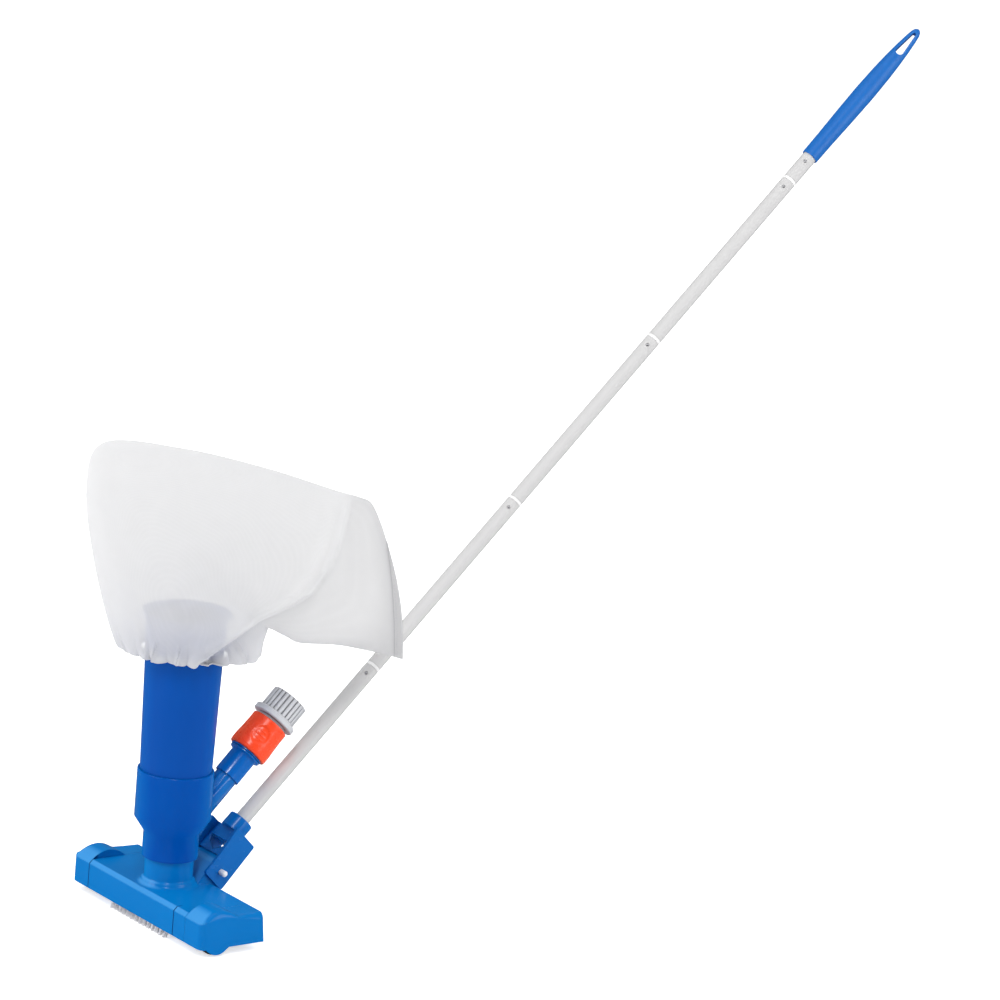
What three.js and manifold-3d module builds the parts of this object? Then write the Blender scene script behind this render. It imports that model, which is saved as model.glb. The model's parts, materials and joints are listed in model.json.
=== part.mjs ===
// Manual pool vacuum head: suction head on two wheels, venturi body with a hose inlet, riser tube with
// a mesh bag, quick hose coupler, and a five-section pole on a swivel bracket.
// Millimetres, +Z up. The origin is on the suction plate's underside, on the riser tube's axis. +X runs
// along the head and +Y points to the rear, where the pole leaves. Heights in this file are measured from
// the floor under the wheels, and the finished assembly is lowered by the plate's height over it.

import * as THREE from "three";
import { mergeVertices } from "three/addons/utils/BufferGeometryUtils.js";
import Module from "manifold-3d";

const wasm = await Module();
wasm.setup();

// ---- Driving dimensions -------------------------------------------------------------------------

const GAP = 0.3; // clearance between neighbouring pieces
const WALL = 2.5; // moulded plastic wall
const ROUND = 56; // facets round a large turned piece
const MEDIUM_ROUND = 36; // facets round a hose-sized piece
const WHEEL_ROUND = 28; // facets round a wheel
const SMALL_ROUND = 20; // facets round a pin, a screw or a pole

// Suction head.
const HEAD_HALF_LENGTH = 123.3;
const HEAD_HALF_DEPTH = 38;
const HEAD_BOTTOM = 9.5;
const HEAD_TOP = 40.5;
const FRONT_BEVEL = 4;
const REAR_TOP_Y = 38;
const REAR_BOTTOM_Y = 40.8;
const CAP_SEAM_X = 92;
const PANEL_SEAM_X = 70;
const BOSS_RADIUS = 28;
const BOSS_TOP = 46.5;
const SPOUT_RADIUS = 25.5;
const SPOUT_BORE = 23;
const SPOUT_TOP = 88;

// Wheels and their arches.
const WHEEL_Y = -15;
const WHEEL_RADIUS = 18;
const WHEEL_INNER_X = 107.5;
const WHEEL_WIDTH = 9;
const ARCH_Y = -14;
const ARCH_RADIUS = 28;
const ARCH_CREST = 48.5;
const SKIRT_Y = -17;
const SKIRT_RADIUS = 15.5;
const SKIRT_BOTTOM = 2.5;
const END_ROUNDING = 8;
const END_INSET = 5;
const END_CREST = 40.5;
const END_CREST_Y = -12;
const END_FALL = 0.0035;
const AXLE_RADIUS = 2.9;

// Underside.
const PLATE_BOTTOM = 9.8;
const PLATE_TOP = 12.8;
const SLOT_HALF_LENGTH = 45;
const SLOT_FRONT_Y = -22;
const SLOT_REAR_Y = -8;
const SCREW_HOLE_RADIUS = 1.7;
const SCREW_HEAD_RADIUS = 3.2;
const BRUSH_HALF_LENGTH = 54;
const BRUSH_Y = 31;
const BRUSH_HALF_WIDTH = 3.5;
const BRUSH_ROOT = 8.4;
const TUFTS = 14;
const SCREW_X = 75;
const SCREW_Y = 24;

// Venturi body and riser tube.
const SOCKET_RADIUS = 29.3;
const SOCKET_BOTTOM = 69.8;
const CONE_BOTTOM = 96.5;
const SLEEVE_BOTTOM = 111.5;
const SLEEVE_RADIUS = 40;
const SLEEVE_TOP = 163.9;
const TUBE_SEAT = 142;
const TUBE_RADIUS_AT_SLEEVE = 37.6;
const TUBE_TAPER = 0.0228;
const TUBE_TOP = 332.5;
const TUBE_WALL = 2;
const LIP_RADIUS = 46;

// Inlet branch and hose coupler, as distances along the branch axis from the riser axis.
const BRANCH_Z = 81.8;
const BRANCH_ELEVATION = 45.9;
const BRANCH_RADIUS = 12.5;
const BRANCH_BORE = 9.5;
const BRANCH_END = 108.2;
const ADAPTER_START = 92.3;
const ADAPTER_RADIUS = 14.4;
const FLANGE_START = 121;
const FLANGE_RADIUS = 18.7;
const NIPPLE_START = 125.1;
const NIPPLE_END = 150;
const NIPPLE_RADIUS = 8;
const COLLAR_START = 125.4;
const COLLAR_END = 164.7;
const COLLAR_RADIUS = 22;
const COLLAR_TRAVEL = 3;
const CORE_START = 127.5;
const CORE_RADIUS = 13.5;
const CORE_SHOULDER = 158;
const CORE_TOP = 167.8;
const THREAD_RADIUS = 14;
const THREAD_END = 188;
const NUT_START = 168.2;
const NUT_RIM_RADIUS = 24.4;
const NUT_RIM_END = 174.6;
const NUT_RADIUS = 20.5;
const NUT_END = 198.6;
const NUT_SLOTS = 24;

// Swivel bracket and pole, as distances along the pole from the pivot.
const PIVOT_Y = 49.6;
const PIVOT_Z = 52.1;
const POLE_ELEVATION = 44.5;
const POLE_OFFSET = 5.8; // the pole's axis passes this far above the pivot
const POST_RADIUS = 14.5;
const POST_HALF_WIDTH = 20.6;
const YOKE_INNER_X = 21;
const YOKE_OUTER_X = 24.6;
const YOKE_REAR = -13;
const YOKE_WALL_START = 12;
const YOKE_BLOCK_START = 30;
const YOKE_END = 44;
const POLE_COLLAR_RADIUS = 13.9;
const POLE_COLLAR_START = 43.4;
const POLE_COLLAR_END = 58.9;
const PIN_RADIUS = 3.2;
const PIN_NEAR_END = 33;
const PIN_FAR_END = -28;
const POLE_RADIUS = 8;
const POLE_BORE = 7.15;
const POLE_START = 45.3;
const FIRST_JOINT = POLE_COLLAR_END + 216.2;
const JOINT_PITCH = 238.9;
const JOINT_RING = 4;
const JOINER_RADIUS = 6.85;
const JOINER_BORE = 5.65;
const JOINER_REACH = 25; // into the section below, which holds the snap button
const JOINER_UPPER_REACH = 10;
const BUTTON_BELOW_JOINT = 11.6;
const BUTTON_RADIUS = 1.6;
const BUTTON_ROLL = 44; // degrees round the pole from +X towards its upper side
const GRIP_START = POLE_COLLAR_END + 969.3;
const GRIP_LENGTH = 197;
const GRIP_BUTTON = GRIP_START - 9.5;
const POLE_END = GRIP_START + 92;

// Bag. Its flat shape hangs in an upright plane that is turned from +X towards +Y.
const BAG_TURN = 53.3;
const BAG_WALL = 1.4;
const BAG_SIDES = 24;
const ELASTIC_RADIUS = 46.6;

// ---- Materials ----------------------------------------------------------------------------------

const finish = (color, roughness, metalness = 0) => ({ color, roughness, metalness });
const BLUE = finish(0x0a62b8, 0.3);
const TUBE_BLUE = finish(0x0453ae, 0.32);
const GRIP_BLUE = finish(0x2275cb, 0.45);
const ORANGE = finish(0xf24a24, 0.3);
const GREY = finish(0xc4c6cb, 0.45);
const WHITE = finish(0xe4e4e6, 0.5);
const ALUMINIUM = finish(0xd9d9da, 0.35, 0.7);
const STEEL = finish(0xa8aab0, 0.3, 1);
const RUBBER = finish(0x1d2024, 0.85);
const MESH_FABRIC = finish(0xececf0, 0.9);

// ---- Solids -------------------------------------------------------------------------------------

const radians = THREE.MathUtils.degToRad;

function rawSolid(positions, indices, reversed) {
  const triVerts = new Uint32Array(indices);
  if (reversed) {
    for (let i = 0; i < triVerts.length; i += 3) {
      [triVerts[i + 1], triVerts[i + 2]] = [triVerts[i + 2], triVerts[i + 1]];
    }
  }
  return new wasm.Manifold(new wasm.Mesh({ numProp: 3, vertProperties: positions, triVerts }));
}

// A closed three.js geometry as a solid with its faces pointing out.
function toSolid(geometry) {
  const bare = new THREE.BufferGeometry();
  bare.setAttribute("position", geometry.getAttribute("position"));
  bare.setIndex(geometry.index);
  const merged = mergeVertices(bare, 1e-4);
  const indices = [];
  for (let i = 0; i < merged.index.count; i += 3) {
    const [a, b, c] = [merged.index.getX(i), merged.index.getX(i + 1), merged.index.getX(i + 2)];
    if (a !== b && b !== c && c !== a) indices.push(a, b, c);
  }
  const positions = merged.attributes.position.array;
  const solid = rawSolid(positions, indices, false);
  return solid.volume() > 0 ? solid : rawSolid(positions, indices, true);
}

function toGeometry(solid) {
  const { vertProperties, triVerts } = solid.getMesh();
  const geometry = new THREE.BufferGeometry();
  geometry.setAttribute("position", new THREE.BufferAttribute(new Float32Array(vertProperties), 3));
  geometry.setIndex(new THREE.BufferAttribute(new Uint32Array(triVerts), 1));
  geometry.computeVertexNormals();
  return geometry;
}

const cut = (solid, ...tools) => tools.reduce((rest, tool) => rest.subtract(tool), solid);
const join = (...solids) => solids.reduce((sum, solid) => sum.add(solid));

function box(x0, x1, y0, y1, z0, z1) {
  const geometry = new THREE.BoxGeometry(x1 - x0, y1 - y0, z1 - z0);
  return toSolid(geometry.translate((x0 + x1) / 2, (y0 + y1) / 2, (z0 + z1) / 2));
}

// A turned solid about +Z from [radius, z] points. The profile is closed back to its first point.
function turned(profile, facets = ROUND) {
  const points = profile.map(([r, z]) => new THREE.Vector2(r, z));
  points.push(points[0].clone());
  return toSolid(new THREE.LatheGeometry(points, facets).rotateX(Math.PI / 2));
}

function disc(radius, z0, z1, facets = ROUND) {
  return turned([[0, z0], [radius, z0], [radius, z1], [0, z1]], facets);
}

function ring(inner, outer, z0, z1, facets = ROUND) {
  return turned([[inner, z0], [outer, z0], [outer, z1], [inner, z1]], facets);
}

const Z_TO_X = new THREE.Matrix4().makeBasis(
  new THREE.Vector3(0, 1, 0),
  new THREE.Vector3(0, 0, 1),
  new THREE.Vector3(1, 0, 0),
);

// A solid moved by a three.js matrix.
const moved = (solid, matrix) => toSolid(toGeometry(solid).applyMatrix4(matrix));
const shifted = (solid, x, y, z) => solid.translate([x, y, z]);

// A rod of the given radius along X, centred on (y, z).
function rodX(radius, y, z, x0, x1, facets = SMALL_ROUND) {
  return shifted(moved(disc(radius, x0, x1, facets), Z_TO_X), 0, y, z);
}

// A flat [y, z] outline drawn out along X.
function slabX(outline, x0, x1) {
  const shape = new THREE.Shape(outline.map(([y, z]) => new THREE.Vector2(y, z)));
  const geometry = new THREE.ExtrudeGeometry(shape, { depth: x1 - x0, bevelEnabled: false });
  return toSolid(geometry.translate(0, 0, x0).applyMatrix4(Z_TO_X));
}

// A skin through equal rings of points, with a fan over each end ring.
function loft(rings) {
  const count = rings[0].length;
  const points = rings.flat();
  const indices = [];
  for (let row = 0; row + 1 < rings.length; row += 1) {
    for (let i = 0; i < count; i += 1) {
      const a = row * count + i;
      const b = row * count + ((i + 1) % count);
      indices.push(a, b, a + count, b, b + count, a + count);
    }
  }
  for (const [row, flip] of [[0, true], [rings.length - 1, false]]) {
    const centre = points.length;
    points.push(rings[row].reduce((sum, p) => sum.add(p), new THREE.Vector3()).divideScalar(count));
    for (let i = 0; i < count; i += 1) {
      const a = row * count + i;
      const b = row * count + ((i + 1) % count);
      indices.push(...(flip ? [b, a, centre] : [a, b, centre]));
    }
  }
  const geometry = new THREE.BufferGeometry().setFromPoints(points);
  geometry.setIndex(indices);
  return toSolid(geometry);
}

function piece(name, solid, look) {
  const mesh = new THREE.Mesh(toGeometry(solid), new THREE.MeshStandardMaterial(look));
  mesh.name = name;
  return mesh;
}

function mirroredX(solid) {
  return moved(solid, new THREE.Matrix4().makeScale(-1, 1, 1));
}

// ---- Suction head -------------------------------------------------------------------------------

const HEAD_OUTLINE = [
  [-HEAD_HALF_DEPTH, HEAD_BOTTOM],
  [REAR_BOTTOM_Y, HEAD_BOTTOM],
  [REAR_TOP_Y, HEAD_TOP],
  [-HEAD_HALF_DEPTH + FRONT_BEVEL, HEAD_TOP],
  [-HEAD_HALF_DEPTH, HEAD_TOP - FRONT_BEVEL],
];

const CAVITY_OUTLINE = [
  [-HEAD_HALF_DEPTH + WALL, HEAD_BOTTOM - 1],
  [REAR_BOTTOM_Y - WALL, HEAD_BOTTOM - 1],
  [REAR_TOP_Y - WALL / 2, HEAD_TOP - WALL],
  [-HEAD_HALF_DEPTH + FRONT_BEVEL + WALL / 2, HEAD_TOP - WALL],
  [-HEAD_HALF_DEPTH + WALL, HEAD_TOP - FRONT_BEVEL - WALL / 2],
];

const SCREW_PLACES = [-1, 1].flatMap((side) => [[side * SCREW_X, -SCREW_Y], [side * SCREW_X, SCREW_Y]]);

// The post behind the spout that carries the pole's pivot.
function hingePost() {
  const outline = [[23, HEAD_TOP - 1]];
  for (let degrees = 135; degrees >= -60; degrees -= 15) {
    const turn = radians(degrees);
    outline.push([PIVOT_Y + POST_RADIUS * Math.cos(turn), PIVOT_Z + POST_RADIUS * Math.sin(turn)]);
  }
  outline.push([REAR_TOP_Y + 1, 24], [REAR_TOP_Y - WALL, HEAD_TOP - WALL]);
  const post = slabX(outline, -POST_HALF_WIDTH, POST_HALF_WIDTH);
  return cut(post, rodX(PIN_RADIUS + GAP, PIVOT_Y, PIVOT_Z, -30, 30));
}

// The round boss on the deck, with the spout that the venturi body's socket fits over.
function boss() {
  const profile = [
    [SPOUT_RADIUS, BOSS_TOP + 2], [SPOUT_RADIUS + 1, BOSS_TOP + 0.5], [BOSS_RADIUS - 1, BOSS_TOP],
  ];
  const steps = 5;
  const spread = 7;
  const lip = 0.8;
  for (let step = 0; step <= steps; step += 1) {
    const turn = (step / steps) * (Math.PI / 2);
    const drop = (BOSS_TOP - HEAD_TOP - lip) * Math.sin(turn);
    profile.push([BOSS_RADIUS + spread * (1 - Math.cos(turn)), BOSS_TOP - lip - drop]);
  }
  profile.push([BOSS_RADIUS + spread - 1, HEAD_TOP - WALL], [0, HEAD_TOP - WALL]);
  profile.push([0, SPOUT_TOP], [SPOUT_RADIUS, SPOUT_TOP]);
  return turned(profile);
}

// A post under the deck that a base screw bites into.
function screwPost([x, y]) {
  const post = ring(SCREW_HOLE_RADIUS, 4, PLATE_TOP + GAP, HEAD_TOP - WALL / 2, SMALL_ROUND / 2);
  return shifted(post, x, y, 0);
}

// A groove down the front face and over its bevel.
function panelSeam() {
  const front = -HEAD_HALF_DEPTH;
  const depth = 0.7;
  const outline = [
    [front - 1, 0], [front + depth, 0], [front + depth, HEAD_TOP - FRONT_BEVEL - depth / 2],
    [front + FRONT_BEVEL + depth / 2, HEAD_TOP - depth], [front + FRONT_BEVEL, HEAD_TOP + 1],
    [front - 1, HEAD_TOP + 1],
  ];
  return slabX(outline, PANEL_SEAM_X, PANEL_SEAM_X + depth);
}

function headShell() {
  const inner = CAP_SEAM_X - GAP / 2;
  let shell = slabX(HEAD_OUTLINE, -inner, inner);
  shell = join(shell, boss(), hingePost());
  const cavity = slabX(CAVITY_OUTLINE, -inner + WALL, inner - WALL);
  shell = cut(shell, cavity, disc(SPOUT_BORE, HEAD_TOP - WALL - 1, SPOUT_TOP + 1));
  return cut(join(shell, ...SCREW_PLACES.map(screwPost)), panelSeam());
}

// Height of an end cap's top at depth y: the flat deck, its front bevel, and the wheel arch over it.
function capTop(y) {
  const bevel = HEAD_TOP - FRONT_BEVEL + (y + HEAD_HALF_DEPTH);
  const rise = ARCH_RADIUS ** 2 - (y - ARCH_Y) ** 2;
  const arch = rise > 0 ? ARCH_CREST - ARCH_RADIUS + Math.sqrt(rise) : 0;
  return Math.min(Math.max(HEAD_TOP, arch), Math.max(bevel, arch - 2));
}

// Height of the end face's top edge, a low arc that falls to the rear.
const endFaceTop = (y) => END_CREST - END_FALL * (y - END_CREST_Y) ** 2;

// One ring of the right end cap at x. The roll, from 0 to 1, rounds it towards the end face.
function capRing(x, roll, skirted) {
  const steps = 24;
  const front = -HEAD_HALF_DEPTH + roll * END_INSET;
  const rearTop = REAR_TOP_Y - roll;
  const rearBottom = REAR_BOTTOM_Y - roll;
  const points = [];
  for (let i = 0; i <= steps; i += 1) {
    const y = rearTop + ((front - rearTop) * i) / steps;
    const flat = Math.max(y - roll * END_INSET, -HEAD_HALF_DEPTH);
    points.push(new THREE.Vector3(x, y, THREE.MathUtils.lerp(capTop(flat), endFaceTop(y), roll)));
  }
  for (let i = 0; i <= steps; i += 1) {
    const y = front + ((rearBottom - front) * i) / steps;
    const drop = SKIRT_RADIUS ** 2 - (y - SKIRT_Y) ** 2;
    const skirt = drop > 0 ? SKIRT_BOTTOM + SKIRT_RADIUS - Math.sqrt(drop) : HEAD_BOTTOM;
    points.push(new THREE.Vector3(x, y, skirted ? Math.min(HEAD_BOTTOM, skirt) : HEAD_BOTTOM));
  }
  return points;
}

function endCap() {
  const start = CAP_SEAM_X + GAP / 2;
  const rollStart = HEAD_HALF_LENGTH - END_ROUNDING;
  const skirtX = WHEEL_INNER_X + WHEEL_WIDTH + 1.2;
  const rings = [capRing(start, 0, false), capRing(rollStart, 0, false)];
  const steps = 6;
  for (let i = 1; i <= steps; i += 1) {
    const turn = (i / steps) * (Math.PI / 2);
    const x = rollStart + END_ROUNDING * Math.sin(turn);
    rings.push(capRing(x, 1 - Math.cos(turn), x > skirtX));
  }
  const outside = loft(rings);
  const front = -HEAD_HALF_DEPTH + WALL;
  const cavityEnd = HEAD_HALF_LENGTH - WALL - 1.2;
  const archHollow = rodX(
    ARCH_RADIUS - WALL - 1, ARCH_Y, ARCH_CREST - ARCH_RADIUS, start + WALL, rollStart + 1, MEDIUM_ROUND,
  ).intersect(box(start, HEAD_HALF_LENGTH, front, REAR_TOP_Y, 0, ARCH_CREST));
  const deckHollow = box(start + WALL, cavityEnd, front + 2.5, REAR_TOP_Y - 3, 0, HEAD_BOTTOM + 20);
  const bosses = join(
    rodX(5.5, WHEEL_Y, WHEEL_RADIUS, start + WALL / 2, WHEEL_INNER_X - 0.8),
    rodX(5.5, WHEEL_Y, WHEEL_RADIUS, WHEEL_INNER_X + WHEEL_WIDTH + 0.8, cavityEnd + 1),
  );
  const bore = rodX(AXLE_RADIUS + GAP, WHEEL_Y, WHEEL_RADIUS, start + WALL, cavityEnd);
  return cut(join(cut(outside, archHollow, deckHollow), bosses), bore);
}

function axle() {
  const inner = CAP_SEAM_X + WALL + GAP * 2;
  return rodX(AXLE_RADIUS, WHEEL_Y, WHEEL_RADIUS, inner, HEAD_HALF_LENGTH - WALL - 1.6);
}

function wheel() {
  const rim = WHEEL_RADIUS;
  const half = WHEEL_WIDTH / 2;
  const bore = AXLE_RADIUS + GAP;
  const profile = [
    [bore, -half], [6.5, -half], [6.5, -1.5], [rim - 4, -1.5], [rim - 4, -half + 0.6], [rim - 1, -half + 0.4],
    [rim, -half + 1.6], [rim, half - 1.6], [rim - 1, half - 0.4], [rim - 4, half - 0.6], [rim - 4, 1.5],
    [6.5, 1.5], [6.5, half], [bore, half],
  ];
  const middle = WHEEL_INNER_X + half;
  return shifted(moved(turned(profile, WHEEL_ROUND), Z_TO_X), middle, WHEEL_Y, WHEEL_RADIUS);
}

function basePlate() {
  const halfLength = CAP_SEAM_X - GAP / 2 - WALL - GAP;
  const front = -HEAD_HALF_DEPTH + WALL + GAP;
  const plate = box(-halfLength, halfLength, front, REAR_BOTTOM_Y - WALL - 1, PLATE_BOTTOM, PLATE_TOP);
  const reach = BRUSH_HALF_LENGTH + GAP;
  const width = BRUSH_HALF_WIDTH + GAP;
  const openings = [box(-SLOT_HALF_LENGTH, SLOT_HALF_LENGTH, SLOT_FRONT_Y, SLOT_REAR_Y, 0, 20)];
  for (const y of [-BRUSH_Y, BRUSH_Y]) openings.push(box(-reach, reach, y - width, y + width, 0, 20));
  for (const [x, y] of SCREW_PLACES) {
    openings.push(shifted(disc(SCREW_HOLE_RADIUS, 0, 20, SMALL_ROUND / 2), x, y, 0));
    const sink = disc(SCREW_HEAD_RADIUS + 0.4, 0, PLATE_BOTTOM + 1.5, SMALL_ROUND / 2);
    openings.push(shifted(sink, x, y, 0));
  }
  return cut(plate, ...openings);
}

function baseScrew([x, y]) {
  const shank = SCREW_HOLE_RADIUS - GAP;
  const head = PLATE_BOTTOM + 0.1;
  const profile = [
    [0, head], [SCREW_HEAD_RADIUS, head], [SCREW_HEAD_RADIUS, head + 1], [shank, head + 1.3],
    [shank, head + 13.1], [0, head + 14.6],
  ];
  return shifted(turned(profile, SMALL_ROUND / 2), x, y, 0);
}

function brushStrip(y) {
  const reach = BRUSH_HALF_LENGTH;
  return box(-reach, reach, y - BRUSH_HALF_WIDTH, y + BRUSH_HALF_WIDTH, BRUSH_ROOT, PLATE_TOP);
}

function bristles(y) {
  const pitch = (2 * BRUSH_HALF_LENGTH) / TUFTS;
  const top = BRUSH_ROOT - GAP;
  const tufts = [box(-BRUSH_HALF_LENGTH + 1, BRUSH_HALF_LENGTH - 1, y - 2, y + 2, top - 1, top)];
  for (let i = 0; i < TUFTS; i += 1) {
    const x = -BRUSH_HALF_LENGTH + pitch * (i + 0.5);
    const tuft = turned([[0, 0.1], [3.1, 0.1], [2.6, top - 0.5], [0, top - 0.5]], 4);
    tufts.push(shifted(tuft, x, y, 0));
  }
  return join(...tufts);
}

// ---- Branch and pole frames ---------------------------------------------------------------------

// A frame in the YZ plane whose +Z runs at an elevation above +Y.
function slanted(y, z, elevation) {
  const frame = new THREE.Group();
  frame.position.set(0, y, z);
  frame.rotation.x = radians(elevation - 90);
  frame.updateMatrix();
  return frame;
}

const branch = slanted(0, BRANCH_Z, BRANCH_ELEVATION);
const pole = slanted(PIVOT_Y, PIVOT_Z, POLE_ELEVATION);

// ---- Venturi body, nozzle and riser tube --------------------------------------------------------

const tubeRadius = (z) => TUBE_RADIUS_AT_SLEEVE + TUBE_TAPER * (z - SLEEVE_TOP);

function venturiBody() {
  const outside = turned([
    [0, SOCKET_BOTTOM], [SOCKET_RADIUS, SOCKET_BOTTOM], [SOCKET_RADIUS, CONE_BOTTOM],
    [SLEEVE_RADIUS - 0.7, SLEEVE_BOTTOM - 0.5], [SLEEVE_RADIUS, SLEEVE_BOTTOM + 0.5],
    [SLEEVE_RADIUS, SLEEVE_TOP - 0.8], [SLEEVE_RADIUS - 0.6, SLEEVE_TOP], [0, SLEEVE_TOP],
  ]);
  const throat = SLEEVE_RADIUS - 6.5;
  const inside = turned([
    [0, SOCKET_BOTTOM - 1], [SPOUT_RADIUS + GAP, SOCKET_BOTTOM - 1], [SPOUT_RADIUS + GAP, SPOUT_TOP + GAP],
    [SPOUT_BORE, SPOUT_TOP + GAP], [SPOUT_BORE + 1.5, CONE_BOTTOM + 3], [throat, SLEEVE_BOTTOM + 4],
    [throat, TUBE_SEAT - GAP], [SLEEVE_RADIUS - 2.1, TUBE_SEAT - GAP], [SLEEVE_RADIUS - 2.1, SLEEVE_TOP + 1],
    [0, SLEEVE_TOP + 1],
  ]);
  const pipe = moved(disc(BRANCH_RADIUS, 12, BRANCH_END, MEDIUM_ROUND), branch.matrix);
  const bore = moved(disc(BRANCH_BORE, -6, BRANCH_END + 1, MEDIUM_ROUND), branch.matrix);
  return cut(join(outside, pipe), inside, bore);
}

// The elbow that takes the hose water from the branch to the middle of the throat and turns it upward.
function jetNozzle() {
  const radius = BRANCH_BORE - GAP;
  const feed = moved(disc(radius, 0, 82, SMALL_ROUND), branch.matrix);
  const knuckle = toSolid(new THREE.SphereGeometry(radius, SMALL_ROUND, 10)).translate([0, 0, BRANCH_Z]);
  const jetOutline = (wide, narrow, shoulder, tip) => turned([
    [0, BRANCH_Z], [wide, BRANCH_Z], [wide, BRANCH_Z + shoulder], [narrow, BRANCH_Z + tip],
    [0, BRANCH_Z + tip],
  ], SMALL_ROUND);
  const jet = jetOutline(radius, 5, 14, 34);
  const jetBore = jetOutline(6, 3, 12, 35);
  const feedBore = moved(disc(radius - 2.4, -1, 83, SMALL_ROUND), branch.matrix);
  return cut(join(feed, knuckle, jet), feedBore, jetBore);
}

function riserTube() {
  const bottom = tubeRadius(TUBE_SEAT);
  const flareStart = TUBE_TOP - 9;
  const neck = tubeRadius(flareStart);
  return turned([
    [bottom, TUBE_SEAT], [neck, flareStart], [neck + 1.4, TUBE_TOP - 5],
    [LIP_RADIUS, TUBE_TOP - 1.6],
    [LIP_RADIUS, TUBE_TOP], [neck - 0.4, TUBE_TOP - 3], [neck - TUBE_WALL, flareStart],
    [bottom - TUBE_WALL, TUBE_SEAT],
  ]);
}

// ---- Bag ----------------------------------------------------------------------------------------

// Cross-sections from the mouth to the closed end. near and far are the two edges as [along, z], where
// along is measured in the bag's plane from the riser axis, and half is half the bag's thickness.
const BAG_SECTIONS = [
  { near: [42.4, 283.5], far: [-42.4, 283.5], half: 42.4 },
  { near: [56, 288], far: [-57, 290], half: 50 },
  { near: [73, 294], far: [-73, 305], half: 58 },
  { near: [79, 312], far: [-96, 380], half: 64 },
  { near: [84, 321], far: [-108.5, 455], half: 60 },
  { near: [86, 321.5], far: [-94, 497], half: 54 },
  { near: [90, 320], far: [-11, 502], half: 44 },
  { near: [104, 314], far: [70, 490], half: 34 },
  { near: [118, 309], far: [140, 473.5], half: 25 },
  { near: [159, 310], far: [172, 466], half: 16 },
  { near: [190, 306], far: [183, 455], half: 9 },
  { near: [224, 303.5], far: [191, 441], half: 2.6 },
];

function bagRing({ near, far, half }, inset) {
  const across = new THREE.Vector3(Math.cos(radians(BAG_TURN)), Math.sin(radians(BAG_TURN)), 0);
  const through = new THREE.Vector3(-across.y, across.x, 0);
  const [a, b] = [near, far].map(([along, z]) => across.clone().multiplyScalar(along).setZ(z));
  const centre = a.clone().add(b).multiplyScalar(0.5);
  const reach = a.clone().sub(b).multiplyScalar(0.5);
  const scale = 1 - inset / reach.length();
  const points = [];
  for (let i = 0; i < BAG_SIDES; i += 1) {
    const turn = (i / BAG_SIDES) * 2 * Math.PI;
    const point = centre.clone().addScaledVector(reach, scale * Math.cos(turn));
    points.push(point.addScaledVector(through, (half - inset) * Math.sin(turn)));
  }
  return points;
}

function bag() {
  const outside = loft(BAG_SECTIONS.map((section) => bagRing(section, 0)));
  const inner = BAG_SECTIONS.slice(0, -1).map((section) => bagRing(section, BAG_WALL));
  const mouth = inner[0].map((point) => point.clone().setZ(point.z - 4));
  return cut(outside, loft([mouth, ...inner]));
}

function bagElastic() {
  const cord = toSolid(new THREE.TorusGeometry(ELASTIC_RADIUS, 1.1, 5, MEDIUM_ROUND));
  return shifted(cord, 0, 0, BAG_SECTIONS[0].near[1] - GAP);
}

// ---- Inlet adapter and hose coupler, along the branch axis --------------------------------------

function inletAdapter() {
  const groove = NIPPLE_START + 4.1;
  return turned([
    [BRANCH_RADIUS + GAP, ADAPTER_START], [ADAPTER_RADIUS, ADAPTER_START],
    [ADAPTER_RADIUS, FLANGE_START - 1.2],
    [FLANGE_RADIUS - 1.4, FLANGE_START], [FLANGE_RADIUS - 0.6, FLANGE_START + 0.6],
    [FLANGE_RADIUS - 0.6, FLANGE_START + 1.9], [FLANGE_RADIUS - 1.8, FLANGE_START + 2.1],
    [FLANGE_RADIUS - 1.8, FLANGE_START + 2.5], [FLANGE_RADIUS, FLANGE_START + 2.7],
    [FLANGE_RADIUS, NIPPLE_START],
    [NIPPLE_RADIUS, NIPPLE_START], [NIPPLE_RADIUS, groove], [6.7, groove + 1.2], [6.7, groove + 6],
    [NIPPLE_RADIUS, groove + 7.2], [NIPPLE_RADIUS, 141.8], [6.1, 141.8], [6.1, 144.2], [NIPPLE_RADIUS, 144.2],
    [NIPPLE_RADIUS, NIPPLE_END - 1], [NIPPLE_RADIUS - 1, NIPPLE_END], [5, NIPPLE_END], [5, BRANCH_END + 3],
    [BRANCH_BORE - 1, BRANCH_END + GAP], [BRANCH_RADIUS + GAP, BRANCH_END + GAP],
  ], MEDIUM_ROUND);
}

const CLAW_START = 130.9;
const CLAW_SIZE = 3.8;

// Both latch claws sit in windows through the core's wall, on its +X and -X sides.
function latchClaw() {
  const half = CLAW_SIZE / 2;
  return box(7.3, 12.9, -half, half, CLAW_START, CLAW_START + CLAW_SIZE);
}

function couplerBody() {
  const thread = [];
  for (let z = CORE_TOP + 6; z < THREAD_END - 3; z += 3) {
    thread.push([THREAD_RADIUS - 0.6, z], [THREAD_RADIUS + 0.6, z + 0.9], [THREAD_RADIUS - 0.6, z + 1.8]);
  }
  const core = turned([
    [8.4, CORE_START], [CORE_RADIUS, CORE_START], [CORE_RADIUS, CORE_SHOULDER], [16.8, CORE_SHOULDER],
    [16.8, CORE_TOP], [THREAD_RADIUS - 0.6, CORE_TOP], ...thread, [THREAD_RADIUS - 0.6, THREAD_END],
    [6, THREAD_END], [6, NIPPLE_END + 3], [8.4, NIPPLE_END + 3],
  ], SMALL_ROUND);
  const half = CLAW_SIZE / 2 + GAP;
  return cut(core, box(-20, 20, -half, half, CLAW_START - GAP, CLAW_START + CLAW_SIZE + GAP));
}

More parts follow.
